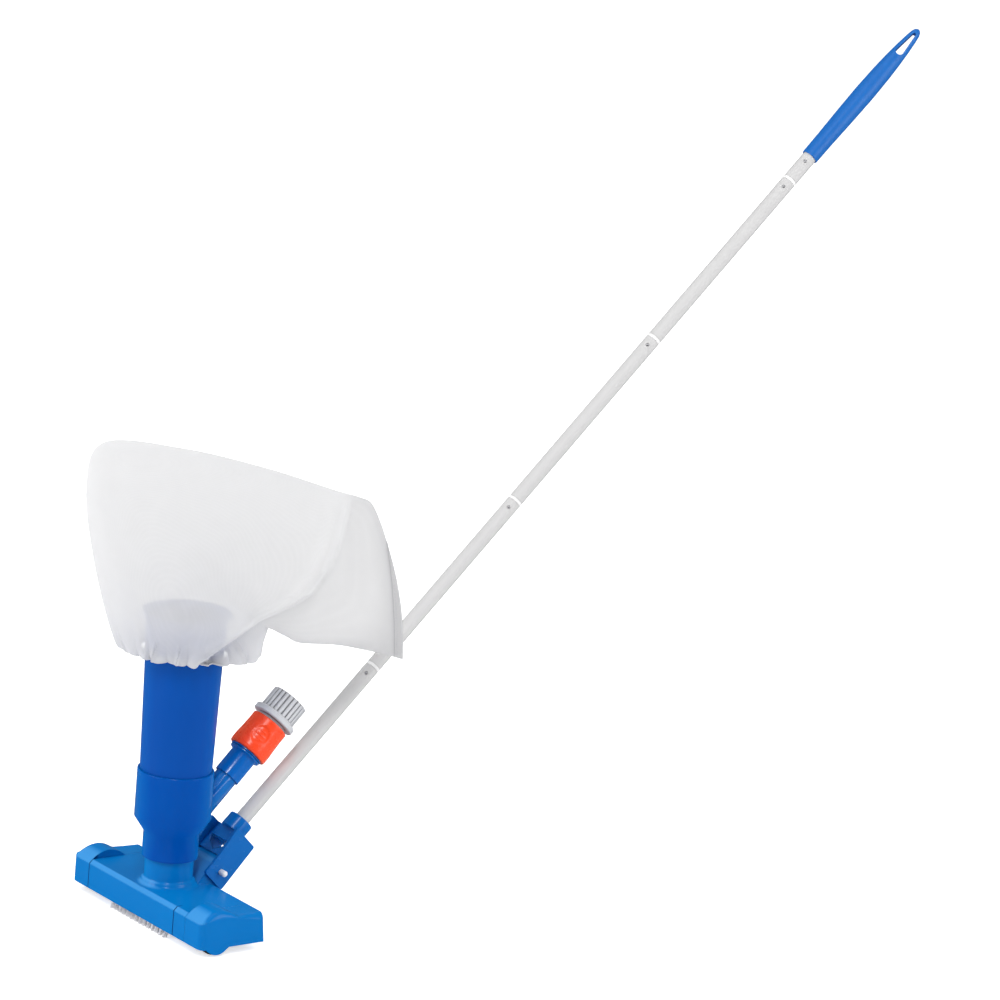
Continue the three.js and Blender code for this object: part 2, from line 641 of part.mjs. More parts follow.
function releaseCollar() {
  return turned([
    [14.6, COLLAR_START], [COLLAR_RADIUS - 1.6, COLLAR_START], [COLLAR_RADIUS - 0.4, COLLAR_START + 1],
    [COLLAR_RADIUS, COLLAR_START + 4], [COLLAR_RADIUS - 0.1, COLLAR_START + 11],
    [COLLAR_RADIUS - 0.7, COLLAR_START + 20], [COLLAR_RADIUS - 1.1, COLLAR_START + 30],
    [COLLAR_RADIUS - 1, COLLAR_END - 1.2], [COLLAR_RADIUS - 2, COLLAR_END], [17.2, COLLAR_END],
    [17.2, COLLAR_START + 3.1], [14.6, COLLAR_START + 3.1],
  ], MEDIUM_ROUND);
}

function collarSpring() {
  const turns = 6;
  const start = CORE_START + 5.2;
  const length = CORE_SHOULDER - start - 1.2;
  const radius = 15.4;
  const steps = turns * 12;
  const points = [];
  for (let i = 0; i <= steps; i += 1) {
    const turn = (i / steps) * turns * 2 * Math.PI;
    const height = start + (length * i) / steps;
    points.push(new THREE.Vector3(radius * Math.cos(turn), radius * Math.sin(turn), height));
  }
  const wireRadius = 0.6;
  const corners = [[wireRadius, 0], [0, wireRadius], [-wireRadius, 0], [0, -wireRadius]];
  const wire = new THREE.Shape(corners.map(([x, y]) => new THREE.Vector2(x, y)));
  const extrudePath = new THREE.CatmullRomCurve3(points);
  return toSolid(new THREE.ExtrudeGeometry(wire, { steps, extrudePath }));
}

function nippleSeal() {
  return shifted(toSolid(new THREE.TorusGeometry(7.3, 0.8, 6, SMALL_ROUND)), 0, 0, 143);
}

function clampNut() {
  const body = turned([
    [15.2, NUT_START], [NUT_RIM_RADIUS - 0.8, NUT_START], [NUT_RIM_RADIUS, NUT_START + 0.8],
    [NUT_RIM_RADIUS, NUT_RIM_END - 1], [NUT_RIM_RADIUS - 1.2, NUT_RIM_END], [NUT_RADIUS, NUT_RIM_END + 0.6],
    [NUT_RADIUS, NUT_END - 1], [NUT_RADIUS - 1, NUT_END], [12, NUT_END], [12, NUT_END - 2.4],
    [15.2, NUT_END - 2.4],
  ], 2 * NUT_SLOTS);
  const slots = [];
  for (let i = 0; i < NUT_SLOTS; i += 1) {
    const slot = box(NUT_RADIUS - 1.7, NUT_RADIUS + 2, -0.7, 0.7, NUT_RIM_END + 1.4, NUT_END + 1);
    slots.push(slot.rotate([0, 0, (360 / NUT_SLOTS) * i]));
  }
  return cut(body, ...slots);
}

function hoseCollet() {
  const body = ring(12.4, 14.8, THREAD_END + 1, NUT_END - 2.8, SMALL_ROUND);
  const slots = [];
  for (let i = 0; i < 4; i += 1) {
    slots.push(box(-20, 20, -0.8, 0.8, THREAD_END, THREAD_END + 5.5).rotate([0, 0, 45 * i]));
  }
  return cut(body, ...slots);
}

// ---- Swivel bracket and pole, along the pole axis -----------------------------------------------

// In the pole's frame, -Y is its upper side, so an outline is given as [height above the pivot, along].
const upright = (outline) => outline.map(([height, along]) => [-height, along]);

const onPoleAxis = (solid) => shifted(solid, 0, -POLE_OFFSET, 0);

function swivelBracket() {
  const plate = upright([
    [-15, YOKE_REAR + 1.5], [-13.5, YOKE_REAR], [14, YOKE_REAR], [15.5, YOKE_REAR + 1.5],
    [16.3, YOKE_WALL_START], [21, YOKE_END], [-10.5, YOKE_END], [-12, YOKE_END - 1.5],
  ]);
  const sides = [slabX(plate, -YOKE_OUTER_X, -YOKE_INNER_X), slabX(plate, YOKE_INNER_X, YOKE_OUTER_X)];
  const wall = slabX(
    upright([[10.2, YOKE_WALL_START], [16.2, YOKE_WALL_START], [20.7, YOKE_END], [12, YOKE_END]]),
    -YOKE_INNER_X - 0.5,
    YOKE_INNER_X + 0.5,
  );
  const block = slabX(
    upright([[-11.8, YOKE_BLOCK_START], [18, YOKE_BLOCK_START], [19, YOKE_END], [-10.5, YOKE_END]]),
    -YOKE_INNER_X - 0.5,
    YOKE_INNER_X + 0.5,
  );
  const collar = onPoleAxis(turned([
    [0, POLE_COLLAR_START], [POLE_COLLAR_RADIUS, POLE_COLLAR_START],
    [POLE_COLLAR_RADIUS, POLE_COLLAR_END - 1], [POLE_COLLAR_RADIUS - 0.8, POLE_COLLAR_END],
    [0, POLE_COLLAR_END],
  ], MEDIUM_ROUND));
  const bore = onPoleAxis(disc(POLE_RADIUS + GAP, POLE_START - GAP, POLE_COLLAR_END + 1, SMALL_ROUND));
  // The wall that faces the riser tube is hollowed to a shallow trough.
  const troughRadius = 170;
  const trough = disc(troughRadius, -20, 80, 96).translate([0, -(troughRadius + 10.4), 0]);
  const pinHole = rodX(PIN_RADIUS + GAP, 0, 0, -30, 30);
  const core = cut(join(wall, block), trough);
  return cut(join(...sides, core, collar), bore, pinHole);
}

function pivotPin() {
  const profile = [
    [0, PIN_FAR_END], [PIN_RADIUS - 0.5, PIN_FAR_END], [PIN_RADIUS, PIN_FAR_END + 0.5],
    [PIN_RADIUS, PIN_NEAR_END - 1.6], [PIN_RADIUS - 0.8, PIN_NEAR_END - 0.5],
    [PIN_RADIUS - 2, PIN_NEAR_END], [0, PIN_NEAR_END],
  ];
  return shifted(moved(turned(profile, SMALL_ROUND), Z_TO_X), 0, PIVOT_Y, PIVOT_Z);
}

function pinClip() {
  const clip = ring(PIN_RADIUS + GAP, 6, -YOKE_OUTER_X - 1.5, -YOKE_OUTER_X - GAP, SMALL_ROUND);
  return shifted(moved(clip, Z_TO_X), 0, PIVOT_Y, PIVOT_Z);
}

// A radial direction on the pole that points out of it at the buttons.
const buttonTurn = new THREE.Matrix4()
  .makeRotationZ(-radians(BUTTON_ROLL))
  .multiply(new THREE.Matrix4().makeRotationY(Math.PI / 2));

// A stub that stands out of the pole's axis through the button's side, at a distance along the pole.
function buttonStub(radius, from, to, along) {
  return moved(disc(radius, from, to, SMALL_ROUND / 2), buttonTurn).translate([0, 0, along]);
}

function poleSection(from, to, buttonAt) {
  const tube = ring(POLE_BORE, POLE_RADIUS, from, to, SMALL_ROUND);
  return onPoleAxis(cut(tube, buttonStub(BUTTON_RADIUS + GAP, 4, 11, buttonAt)));
}

function poleJoiner(joint) {
  const half = JOINT_RING / 2 - GAP;
  const reach = JOINER_REACH;
  const body = turned([
    [JOINER_BORE, joint - reach], [JOINER_RADIUS, joint - reach], [JOINER_RADIUS, joint - half],
    [POLE_RADIUS + 0.05, joint - half], [POLE_RADIUS + 0.05, joint + half], [JOINER_RADIUS, joint + half],
    [JOINER_RADIUS, joint + JOINER_UPPER_REACH], [JOINER_BORE, joint + JOINER_UPPER_REACH],
  ], SMALL_ROUND);
  return onPoleAxis(cut(body, buttonStub(BUTTON_RADIUS + GAP, 4, 11, joint - BUTTON_BELOW_JOINT)));
}

function gripPlug() {
  const body = ring(JOINER_BORE, JOINER_RADIUS, GRIP_BUTTON - 14, GRIP_START + 40, SMALL_ROUND);
  return onPoleAxis(cut(body, buttonStub(BUTTON_RADIUS + GAP, 4, 11, GRIP_BUTTON)));
}

function snapButton(along) {
  const profile = [[0, 4.65], [BUTTON_RADIUS, 4.65], [BUTTON_RADIUS, 8.15], [1.1, 8.75], [0, 8.95]];
  return onPoleAxis(moved(turned(profile, SMALL_ROUND / 2), buttonTurn).translate([0, 0, along]));
}

// A folded leaf under the button: the near arm carries the button and the far arm pushes back.
function buttonSpring(along) {
  const outline = new THREE.Shape([
    [4.35, -4], [3.95, -4], [3.85, 9], [0.6, 11], [-2.85, 9],
    [-2.55, -4], [-2.95, -4], [-3.25, 9.3], [0.6, 11.6], [4.25, 9.3],
  ].map(([r, z]) => new THREE.Vector2(r, -z)));
  const leaf = new THREE.ExtrudeGeometry(outline, { depth: 3, bevelEnabled: false }).translate(0, 0, -1.5);
  leaf.applyMatrix4(new THREE.Matrix4().makeRotationX(Math.PI / 2));
  leaf.applyMatrix4(new THREE.Matrix4().makeRotationZ(-radians(BUTTON_ROLL)));
  return onPoleAxis(toSolid(leaf.translate(0, 0, along)));
}

// Half-width and half-thickness of the grip along its length.
const GRIP_RINGS = [
  [0, 9.2, 9.2], [1.2, 9.7, 9.7], [30, 10, 9.9], [65, 10.8, 10.5], [100, 11.2, 10.5], [130, 10.6, 9.5],
  [150, 9.6, 8], [168, 8.2, 6], [183, 6.6, 4.8], [191, 5.4, 4.1], [195, 3.9, 3.1], [196.8, 1.8, 1.8],
];

function grip() {
  const sides = 28;
  const rings = GRIP_RINGS.map(([along, wide, thick]) => {
    const points = [];
    for (let i = 0; i < sides; i += 1) {
      const turn = (i / sides) * 2 * Math.PI;
      points.push(new THREE.Vector3(thick * Math.cos(turn), wide * Math.sin(turn), GRIP_START + along));
    }
    return points;
  });
  const hole = new THREE.Shape();
  const [low, high] = [GRIP_LENGTH - 36, GRIP_LENGTH - 8.5];
  hole.absarc(0, low, 4.4, Math.PI - 0.1, 2 * Math.PI + 0.1);
  hole.absarc(0, high, 1.6, 0.1, Math.PI - 0.1);
  const cutter = new THREE.ExtrudeGeometry(hole, { depth: 40, bevelEnabled: false, curveSegments: 14 });
  cutter.translate(0, 0, -20).applyMatrix4(Z_TO_X).translate(0, 0, GRIP_START);
  const socket = disc(POLE_RADIUS + GAP, GRIP_START - 1, POLE_END + GAP, SMALL_ROUND);
  const body = cut(loft(rings), toSolid(cutter)).rotate([0, 0, -BUTTON_ROLL]);
  return onPoleAxis(cut(body, socket));
}

// ---- Assembly -----------------------------------------------------------------------------------

const vacuum = new THREE.Group();

const cap = endCap();
vacuum.add(
  piece("head_shell", headShell(), BLUE),
  piece("end_cap_right", cap, BLUE),
  piece("end_cap_left", mirroredX(cap), BLUE),
  piece("axle_right", axle(), STEEL),
  piece("axle_left", mirroredX(axle()), STEEL),
  piece("wheel_right", wheel(), RUBBER),
  piece("wheel_left", mirroredX(wheel()), RUBBER),
  piece("base_plate", basePlate(), BLUE),
  ...SCREW_PLACES.map((place, k) => piece(`base_screw_${k + 1}`, baseScrew(place), STEEL)),
  piece("brush_strip_front", brushStrip(-BRUSH_Y), WHITE),
  piece("brush_strip_rear", brushStrip(BRUSH_Y), WHITE),
  piece("bristles_front", bristles(-BRUSH_Y), WHITE),
  piece("bristles_rear", bristles(BRUSH_Y), WHITE),
  piece("venturi_body", venturiBody(), BLUE),
  piece("jet_nozzle", jetNozzle(), BLUE),
  piece("riser_tube", riserTube(), TUBE_BLUE),
  piece("bag", bag(), MESH_FABRIC),
  piece("bag_elastic", bagElastic(), MESH_FABRIC),
  piece("pivot_pin", pivotPin(), WHITE),
  piece("pin_clip", pinClip(), STEEL),
);

const claw = latchClaw();
branch.add(
  piece("inlet_adapter", inletAdapter(), BLUE),
  piece("nipple_seal", nippleSeal(), RUBBER),
  piece("coupler_body", couplerBody(), GREY),
  piece("coupler_seal", ring(5.5, 8.1, NIPPLE_END + 0.4, NIPPLE_END + 2.7, SMALL_ROUND), RUBBER),
  piece("latch_claw_1", claw, GREY),
  piece("latch_claw_2", mirroredX(claw), GREY),
  piece("collar_spring", collarSpring(), STEEL),
  piece("release_collar", releaseCollar(), ORANGE),
  piece("hose_collet", hoseCollet(), WHITE),
  piece("clamp_nut", clampNut(), GREY),
);

const joints = [0, 1, 2, 3].map((k) => FIRST_JOINT + k * JOINT_PITCH);
const buttonPlaces = [...joints.map((joint) => joint - BUTTON_BELOW_JOINT), GRIP_BUTTON];
const starts = [POLE_START, ...joints.map((joint) => joint + JOINT_RING / 2)];
const ends = [...joints.map((joint) => joint - JOINT_RING / 2), POLE_END];

pole.add(piece("swivel_bracket", swivelBracket(), BLUE));
buttonPlaces.forEach((along, k) => {
  pole.add(piece(`pole_section_${k + 1}`, poleSection(starts[k], ends[k], along), ALUMINIUM));
  pole.add(piece(`snap_button_${k + 1}`, snapButton(along), STEEL));
  pole.add(piece(`button_spring_${k + 1}`, buttonSpring(along), STEEL));
});
joints.forEach((joint, k) => pole.add(piece(`pole_joiner_${k + 1}`, poleJoiner(joint), WHITE)));
pole.add(piece("grip_plug", gripPlug(), WHITE), piece("grip", grip(), GRIP_BLUE));

vacuum.add(branch, pole);
vacuum.position.z = -PLATE_BOTTOM;

export default vacuum;
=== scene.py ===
"""Manual pool vacuum head: fine meshes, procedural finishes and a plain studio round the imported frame.

Metres, +Z up, in the frame's own axes: the origin is on the suction plate's underside, on the riser
tube's axis, +X runs along the head and +Y to the rear, where the pole leaves.
"""

import json
import math
import random

import bmesh
import bpy
from mathutils import Matrix, Vector, noise


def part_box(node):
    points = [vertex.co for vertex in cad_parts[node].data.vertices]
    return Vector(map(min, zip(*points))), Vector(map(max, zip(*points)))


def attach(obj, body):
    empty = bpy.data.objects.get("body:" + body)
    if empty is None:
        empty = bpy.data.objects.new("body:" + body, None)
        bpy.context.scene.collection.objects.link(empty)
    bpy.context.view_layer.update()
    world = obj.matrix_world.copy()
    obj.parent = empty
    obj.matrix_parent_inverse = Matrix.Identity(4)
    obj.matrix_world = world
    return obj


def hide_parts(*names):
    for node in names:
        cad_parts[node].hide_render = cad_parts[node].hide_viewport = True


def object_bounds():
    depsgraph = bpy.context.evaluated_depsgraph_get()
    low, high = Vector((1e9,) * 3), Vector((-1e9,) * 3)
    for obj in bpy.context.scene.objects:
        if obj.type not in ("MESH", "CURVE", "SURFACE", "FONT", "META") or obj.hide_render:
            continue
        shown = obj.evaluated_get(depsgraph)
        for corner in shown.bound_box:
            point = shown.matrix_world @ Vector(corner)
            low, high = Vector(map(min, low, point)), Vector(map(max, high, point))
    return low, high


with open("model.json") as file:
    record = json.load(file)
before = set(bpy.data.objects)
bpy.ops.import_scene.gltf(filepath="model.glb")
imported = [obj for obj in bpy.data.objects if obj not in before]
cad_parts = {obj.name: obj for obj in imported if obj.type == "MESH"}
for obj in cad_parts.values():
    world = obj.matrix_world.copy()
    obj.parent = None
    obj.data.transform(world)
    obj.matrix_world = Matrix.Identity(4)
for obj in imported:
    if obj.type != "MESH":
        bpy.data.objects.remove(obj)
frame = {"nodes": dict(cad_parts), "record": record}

CAD_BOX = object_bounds()
MM = 0.001
NODES = frame["nodes"]
RECORD = frame["record"]
SLOT_OF = {row["node"]: row["material_slot"] for row in RECORD["subparts"]}
BODY_OF = {node: body for body, nodes in RECORD["behaviour"]["bodies"].items() for node in nodes}
SCENE = bpy.context.scene
FLOOR_Z = CAD_BOX[0].z

# The inlet branch and the pole lean back in the YZ plane; the branch starts on the riser's axis.
BRANCH_FOOT = Vector((0, 0, 72.0 * MM))
BRANCH_ELEVATION = math.radians(45.9)
POLE_ELEVATION = math.radians(44.5)


def slanted(foot, elevation):
    """A frame in the YZ plane whose +Z runs at an elevation above +Y, and whose -Y is its upper side."""
    return Matrix.Translation(foot) @ Matrix.Rotation(elevation - math.pi / 2, 4, "X")


BRANCH = slanted(BRANCH_FOOT, BRANCH_ELEVATION)


# ---- Shader graphs ------------------------------------------------------------------------------

# Rays that each rounded edge and each openness is judged by.
SHADER_SAMPLES = 4


class Graph:
    """A material's node tree, with short calls to add nodes and feed their inputs."""

    def __init__(self, name):
        self.material = bpy.data.materials.new(name)
        self.material.use_nodes = True
        self.nodes = self.material.node_tree.nodes
        self.links = self.material.node_tree.links
        self.shader = self.nodes["Principled BSDF"]
        self.output = self.nodes["Material Output"]
        self.place = self.add("ShaderNodeTexCoord").outputs["Object"]

    def feed(self, socket, value):
        """Links an output to the socket, or sets the socket to a value."""
        if isinstance(value, bpy.types.NodeSocket):
            self.links.new(value, socket)
        else:
            socket.default_value = value

    def add(self, kind, inputs=None, **settings):
        """A new node with its settings, and with values or outputs fed into its inputs."""
        node = self.nodes.new(kind)
        for key, value in settings.items():
            setattr(node, key, value)
        for key, value in (inputs or {}).items():
            self.feed(node.inputs[key], value)
        return node

    def noise(self, size, detail=2.0, roughness=0.5, stretch=(1, 1, 1)):
        """Grey noise whose features are about size metres across."""
        where = self.add("ShaderNodeMapping", {"Vector": self.place, "Scale": stretch})
        wanted = {"Vector": where.outputs[0], "Scale": 1 / size, "Detail": detail, "Roughness": roughness}
        return self.add("ShaderNodeTexNoise", wanted).outputs[0]

    def math(self, operation, a, b=0.0, c=0.0):
        """The result of a sum on up to three numbers."""
        return self.add("ShaderNodeMath", {0: a, 1: b, 2: c}, operation=operation).outputs[0]

    def ramp(self, value, low, high, to_low=0.0, to_high=1.0):
        """value's stretch from low to high, spread over to_low to to_high and held there beyond it."""
        wanted = {"Value": value, "From Min": low, "From Max": high, "To Min": to_low, "To Max": to_high}
        return self.add("ShaderNodeMapRange", wanted, clamp=True).outputs[0]

    def mix(self, factor, a, b):
        """Colour a turning into colour b as factor goes from 0 to 1."""
        node = self.add("ShaderNodeMix", {"Factor": factor}, data_type="RGBA")
        for key, value in {"A": a, "B": b}.items():
            # The sockets that share a name take a number, a vector, a colour and a rotation, in that order.
            self.feed([socket for socket in node.inputs if socket.name == key][2], value)
        return node.outputs[2]

    def bump(self, height, distance, strength, normal=None):
        """The normal, or the given one, tilted by a relief of distance metres."""
        wanted = {"Height": height, "Distance": distance, "Strength": strength}
        if normal is not None:
            wanted["Normal"] = normal
        return self.add("ShaderNodeBump", wanted).outputs[0]

    def rounded(self, radius):
        """The surface's normal as if its edges were rounded off to a radius."""
        return self.add("ShaderNodeBevel", {"Radius": radius}, samples=SHADER_SAMPLES).outputs[0]

    def openness(self, distance):
        """1 on open surfaces, falling to 0 down clefts and grooves narrower than a distance."""
        wanted = {"Distance": distance}
        return self.add("ShaderNodeAmbientOcclusion", wanted, samples=SHADER_SAMPLES).outputs["AO"]

    def edges(self, normal):
        """1 where the rounded normal leaves the surface's own, as along a worn edge, and 0 on flats."""
        flat = self.add("ShaderNodeNewGeometry").outputs["Normal"]
        dot = self.add("ShaderNodeVectorMath", {0: normal, 1: flat}, operation="DOT_PRODUCT")
        return self.ramp(dot.outputs["Value"], 0.995, 0.9)

    def facing(self, blend=0.5):
        """0 where the surface faces the camera, rising to 1 where it turns away."""
        return self.add("ShaderNodeLayerWeight", {"Blend": blend}).outputs["Facing"]


def colour(red, green, blue):
    """An opaque colour from its linear parts."""
    return (red, green, blue, 1.0)


# ---- Finishes -----------------------------------------------------------------------------------

# Relief of moulded surfaces: how far their edges are rounded off, and how deep their skin is uneven.
GLOSSY_EDGE, GLOSSY_PEEL = 0.6 * MM, 0.008 * MM
SATIN_EDGE, SATIN_GRAIN = 0.35 * MM, 0.03 * MM

# Painted light on the suction head: a painted highlight turns the chamfer along its front top edge pale, and
# painted shade darkens the joints between its mouldings, as far back as SEAM_FRONT.
CHAMFER_NORMAL = (0, -0.707, 0.707)
CHAMFER_BLEND = 2.5 * MM
CHAMFER_HIGHLIGHT_BLUE = colour(0.055, 0.3, 0.68)
SEAM_SHADE = colour(0.0, 0.03, 0.14)
HEAD_SEAMS = (-92 * MM, 70.4 * MM)
SEAM_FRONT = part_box("head_shell")[0].y + 8 * MM


def head_highlight_and_seam_shade(g, tint, seams):
    """The tint, with a painted highlight paling the front chamfer and painted shade darkening the seams."""
    # Painted highlight: the tint goes pale where the rounded normal turns to the front chamfer's slope.
    wide = g.rounded(CHAMFER_BLEND)
    slope = g.add("ShaderNodeVectorMath", {0: wide, 1: CHAMFER_NORMAL}, operation="DOT_PRODUCT")
    highlit_chamfer = g.ramp(slope.outputs["Value"], 0.86, 0.97, 0.0, 0.85)
    # Painted shade: a thin dark line along each joint between the mouldings, as far back as SEAM_FRONT.
    spot = g.add("ShaderNodeSeparateXYZ", {0: g.place})
    gaps = [g.math("ABSOLUTE", g.math("SUBTRACT", spot.outputs["X"], seam)) for seam in seams]
    shaded_seams = g.ramp(g.math("MINIMUM", *gaps), 0.4 * MM, 0.9 * MM, 0.9, 0.0)
    forward = g.ramp(spot.outputs["Y"], SEAM_FRONT, SEAM_FRONT + 3 * MM, 1.0, 0.0)
    return g.mix(g.math("MULTIPLY", shaded_seams, forward), g.mix(highlit_chamfer, tint, CHAMFER_HIGHLIGHT_BLUE), SEAM_SHADE)


def moulded_plastic(name, body, light, shine=0.2, *, level, pale_past=None, seams=()):
    """Glossy moulded plastic: cloudy pigment, a painted sheen lighter towards grazing, and edges scuffed
    and painted pale as a highlight.

    shine is its roughness and level the strength of its reflections.
    pale_past is a distance to the rear past which painted light turns the pigment to the lighter tone. seams
    are the two places across the width where mouldings join, for the head's painted chamfer highlight and
    seam shade.
    """
    g = Graph(name)
    soft = g.rounded(GLOSSY_EDGE)
    worn = g.edges(soft)
    cloud = g.noise(38 * MM, 3.0)
    speck = g.noise(1.4 * MM, 2.0)
    # Painted sheen: the pigment turns to the lighter tone where the surface turns away from the camera.
    lean = g.ramp(g.facing(), 0.25, 0.95)
    blend = g.math("MULTIPLY_ADD", cloud, 0.2, lean)
    gloss = level
    if pale_past is not None:
        # Painted light: past pale_past to the rear the pigment turns to the lighter tone, where the branch
        # turns up to the lamps.
        rearward = g.add("ShaderNodeSeparateXYZ", {0: g.place}).outputs["Y"]
        blend = g.math("ADD", blend, g.ramp(rearward, pale_past, pale_past + 20 * MM, 0.0, 0.8))
        gloss = g.ramp(rearward, pale_past, pale_past + 10 * MM, level, 0.6)
    tint = g.mix(g.math("MINIMUM", blend, 1.0), body, light)
    # Edges are scuffed, and also painted pale as a highlight along them.
    scuffed_and_highlit = g.mix(g.math("MULTIPLY", worn, g.ramp(speck, 0.35, 0.7, 0.05, 0.3)), tint, light)
    if seams:
        scuffed_and_highlit = head_highlight_and_seam_shade(g, scuffed_and_highlit, seams)
    g.feed(g.shader.inputs["Base Color"], scuffed_and_highlit)
    uneven = g.math("MULTIPLY_ADD", g.noise(9 * MM, 4.0), 0.12, shine - 0.06)
    g.feed(g.shader.inputs["Roughness"], g.math("MULTIPLY_ADD", worn, 0.12, uneven))
    g.feed(g.shader.inputs["Specular IOR Level"], gloss)
    g.feed(g.shader.inputs["Normal"], g.bump(g.noise(0.9 * MM, 2.0), GLOSSY_PEEL, 0.6, soft))
    return g.material


def extruded_plastic(name, body, light):
    """Tube stock: as moulded plastic, with a painted sheen lighter towards grazing, and faint draw lines
    along its length.
    """
    g = Graph(name)
    soft = g.rounded(0.5 * MM)
    lines = g.noise(1.6 * MM, 2.0, 0.5, (1, 1, 0.02))
    cloud = g.noise(50 * MM, 2.0)
    # Painted sheen: the tube turns to the lighter tone where it turns away from the camera.
    lean = g.ramp(g.facing(), 0.3, 0.95)
    g.feed(g.shader.inputs["Base Color"], g.mix(g.math("MULTIPLY_ADD", cloud, 0.2, lean), body, light))
    g.feed(g.shader.inputs["Roughness"], g.math("MULTIPLY_ADD", lines, 0.14, 0.26))
    g.feed(g.shader.inputs["Specular IOR Level"], 0.1)
    g.feed(g.shader.inputs["Normal"], g.bump(lines, 0.01 * MM, 0.5, soft))
    return g.material


GROOVE_WIDTH = 2.5 * MM
GROOVE_SHADE_GREY = colour(0.12, 0.12, 0.13)


def satin_plastic(name, body, dark, shine=0.48, groove_shade=0.0):
    """Matt moulded plastic with a fine spark-eroded grain, and painted shade greying it by a share down its
    grooves.
    """
    g = Graph(name)
    soft = g.rounded(SATIN_EDGE)
    worn = g.edges(soft)
    cloud = g.noise(14 * MM, 3.0)
    tint = g.mix(g.ramp(cloud, 0.3, 0.75, 0.0, 0.5), body, dark)
    tint = g.mix(g.math("MULTIPLY", worn, 0.3), tint, body)
    # Painted shade: the tint greys down grooves narrower than GROOVE_WIDTH, by the given share.
    if groove_shade:
        tint = g.mix(g.ramp(g.openness(GROOVE_WIDTH), 0.35, 0.8, groove_shade, 0.0), tint, GROOVE_SHADE_GREY)
    g.feed(g.shader.inputs["Base Color"], tint)
    g.feed(g.shader.inputs["Roughness"], g.math("MULTIPLY_ADD", g.noise(3 * MM, 3.0), 0.16, shine - 0.08))
    g.feed(g.shader.inputs["Specular IOR Level"], 0.35)
    g.feed(g.shader.inputs["Normal"], g.bump(g.noise(0.45 * MM, 1.0), SATIN_GRAIN, 0.6, soft))
    return g.material


def anodised_aluminium():
    """Pale satin tube: fine draw lines along the pole, and painted shade darkening its edges where it turns
    away.
    """
    g = Graph("anodised_aluminium")
    along = g.add("ShaderNodeVectorRotate", {"Vector": g.place, "Angle": math.pi / 2 - POLE_ELEVATION})
    along.rotation_type = "X_AXIS"
    stretched = g.add("ShaderNodeMapping", {"Vector": along.outputs[0], "Scale": (1, 1, 0.01)})
    wanted = {"Vector": stretched.outputs[0], "Scale": 1 / (0.35 * MM), "Detail": 2.0}
    lines = g.add("ShaderNodeTexNoise", wanted).outputs[0]
    cloud = g.noise(22 * MM, 3.0)
    pale, grey, edge_shade = colour(0.585, 0.58, 0.58), colour(0.53, 0.53, 0.535), colour(0.14, 0.14, 0.15)
    tone = g.mix(g.math("MULTIPLY_ADD", lines, 0.4, g.math("MULTIPLY", cloud, 0.3)), pale, grey)
    # Painted shade: the tube darkens to a dark rim where it turns away from the camera.
    g.feed(g.shader.inputs["Base Color"], g.mix(g.ramp(g.facing(), 0.66, 0.9), tone, edge_shade))
    g.feed(g.shader.inputs["Specular IOR Level"], 0.25)
    g.feed(g.shader.inputs["Roughness"], g.math("MULTIPLY_ADD", lines, 0.18, 0.42))
    g.feed(g.shader.inputs["Normal"], g.bump(lines, 0.008 * MM, 0.5))
    return g.material


def plated_steel():
    """Bright plated wire and screws with fine scratches across them."""
    g = Graph("plated_steel")
    soft = g.rounded(0.15 * MM)
    scratch = g.noise(0.5 * MM, 3.0, 0.6, (1, 0.1, 1))
    tone = g.mix(scratch, colour(0.62, 0.62, 0.64), colour(0.42, 0.42, 0.44))
    g.feed(g.shader.inputs["Base Color"], tone)
    g.feed(g.shader.inputs["Metallic"], 0.9)
    g.feed(g.shader.inputs["Roughness"], g.math("MULTIPLY_ADD", scratch, 0.25, 0.2))
    g.feed(g.shader.inputs["Normal"], g.bump(scratch, 0.01 * MM, 0.5, soft))
    return g.material


def moulded_rubber():
    """Black rubber, dusty in patches."""
    g = Graph("moulded_rubber")
    soft = g.rounded(0.3 * MM)
    dust = g.noise(4 * MM, 4.0, 0.65)
    tone = g.mix(g.ramp(dust, 0.45, 0.8, 0.0, 0.6), colour(0.014, 0.014, 0.016), colour(0.05, 0.05, 0.052))
    g.feed(g.shader.inputs["Base Color"], tone)
    g.feed(g.shader.inputs["Roughness"], g.math("MULTIPLY_ADD", dust, 0.2, 0.62))
    g.feed(g.shader.inputs["Normal"], g.bump(g.noise(0.6 * MM, 2.0), 0.03 * MM, 0.7, soft))
    return g.material


def nylon_filament():
    """Bristles: pale translucent nylon, painted shade greying it towards the roots, uneven from tuft to
    tuft.
    """
    g = Graph("nylon_filament")
    strand = g.noise(1.1 * MM, 1.0, 0.5, (1, 1, 0.05))
    height = g.add("ShaderNodeSeparateXYZ", {0: g.place}).outputs["Z"]
    # Painted shade: the filaments grey towards their roots, up under the head.
    depth = g.ramp(height, FLOOR_Z, 0.0, 0.0, 0.3)
    shade = g.math("MULTIPLY_ADD", g.ramp(strand, 0.35, 0.65), 0.5, depth)
    tone = g.mix(shade, colour(0.97, 0.96, 0.98), colour(0.72, 0.71, 0.75))
    g.feed(g.shader.inputs["Base Color"], tone)
    g.feed(g.shader.inputs["Roughness"], g.math("MULTIPLY_ADD", strand, 0.2, 0.3))
    g.feed(g.shader.inputs["Subsurface Weight"], 0.2)
    g.feed(g.shader.inputs["Subsurface Radius"], (1 * MM, 1 * MM, 1 * MM))
    g.feed(g.shader.inputs["Normal"], g.bump(strand, 0.02 * MM, 0.4))
    return g.material


# Threads FABRIC_PITCH apart, turned by FABRIC_BIAS about the vertical. A wave texture of scale 1 repeats
# every WAVE_PERIOD metres.
FABRIC_PITCH = 1.1 * MM
FABRIC_BIAS = 0.6
WAVE_PERIOD = 0.31
YARN_WIDTH = 0.9 * MM
CLEFT_WIDTH = 9 * MM
CLEFT_SHADE = colour(0.4, 0.4, 0.43)
RIDGE_HIGHLIGHT = colour(0.97, 0.97, 0.975)


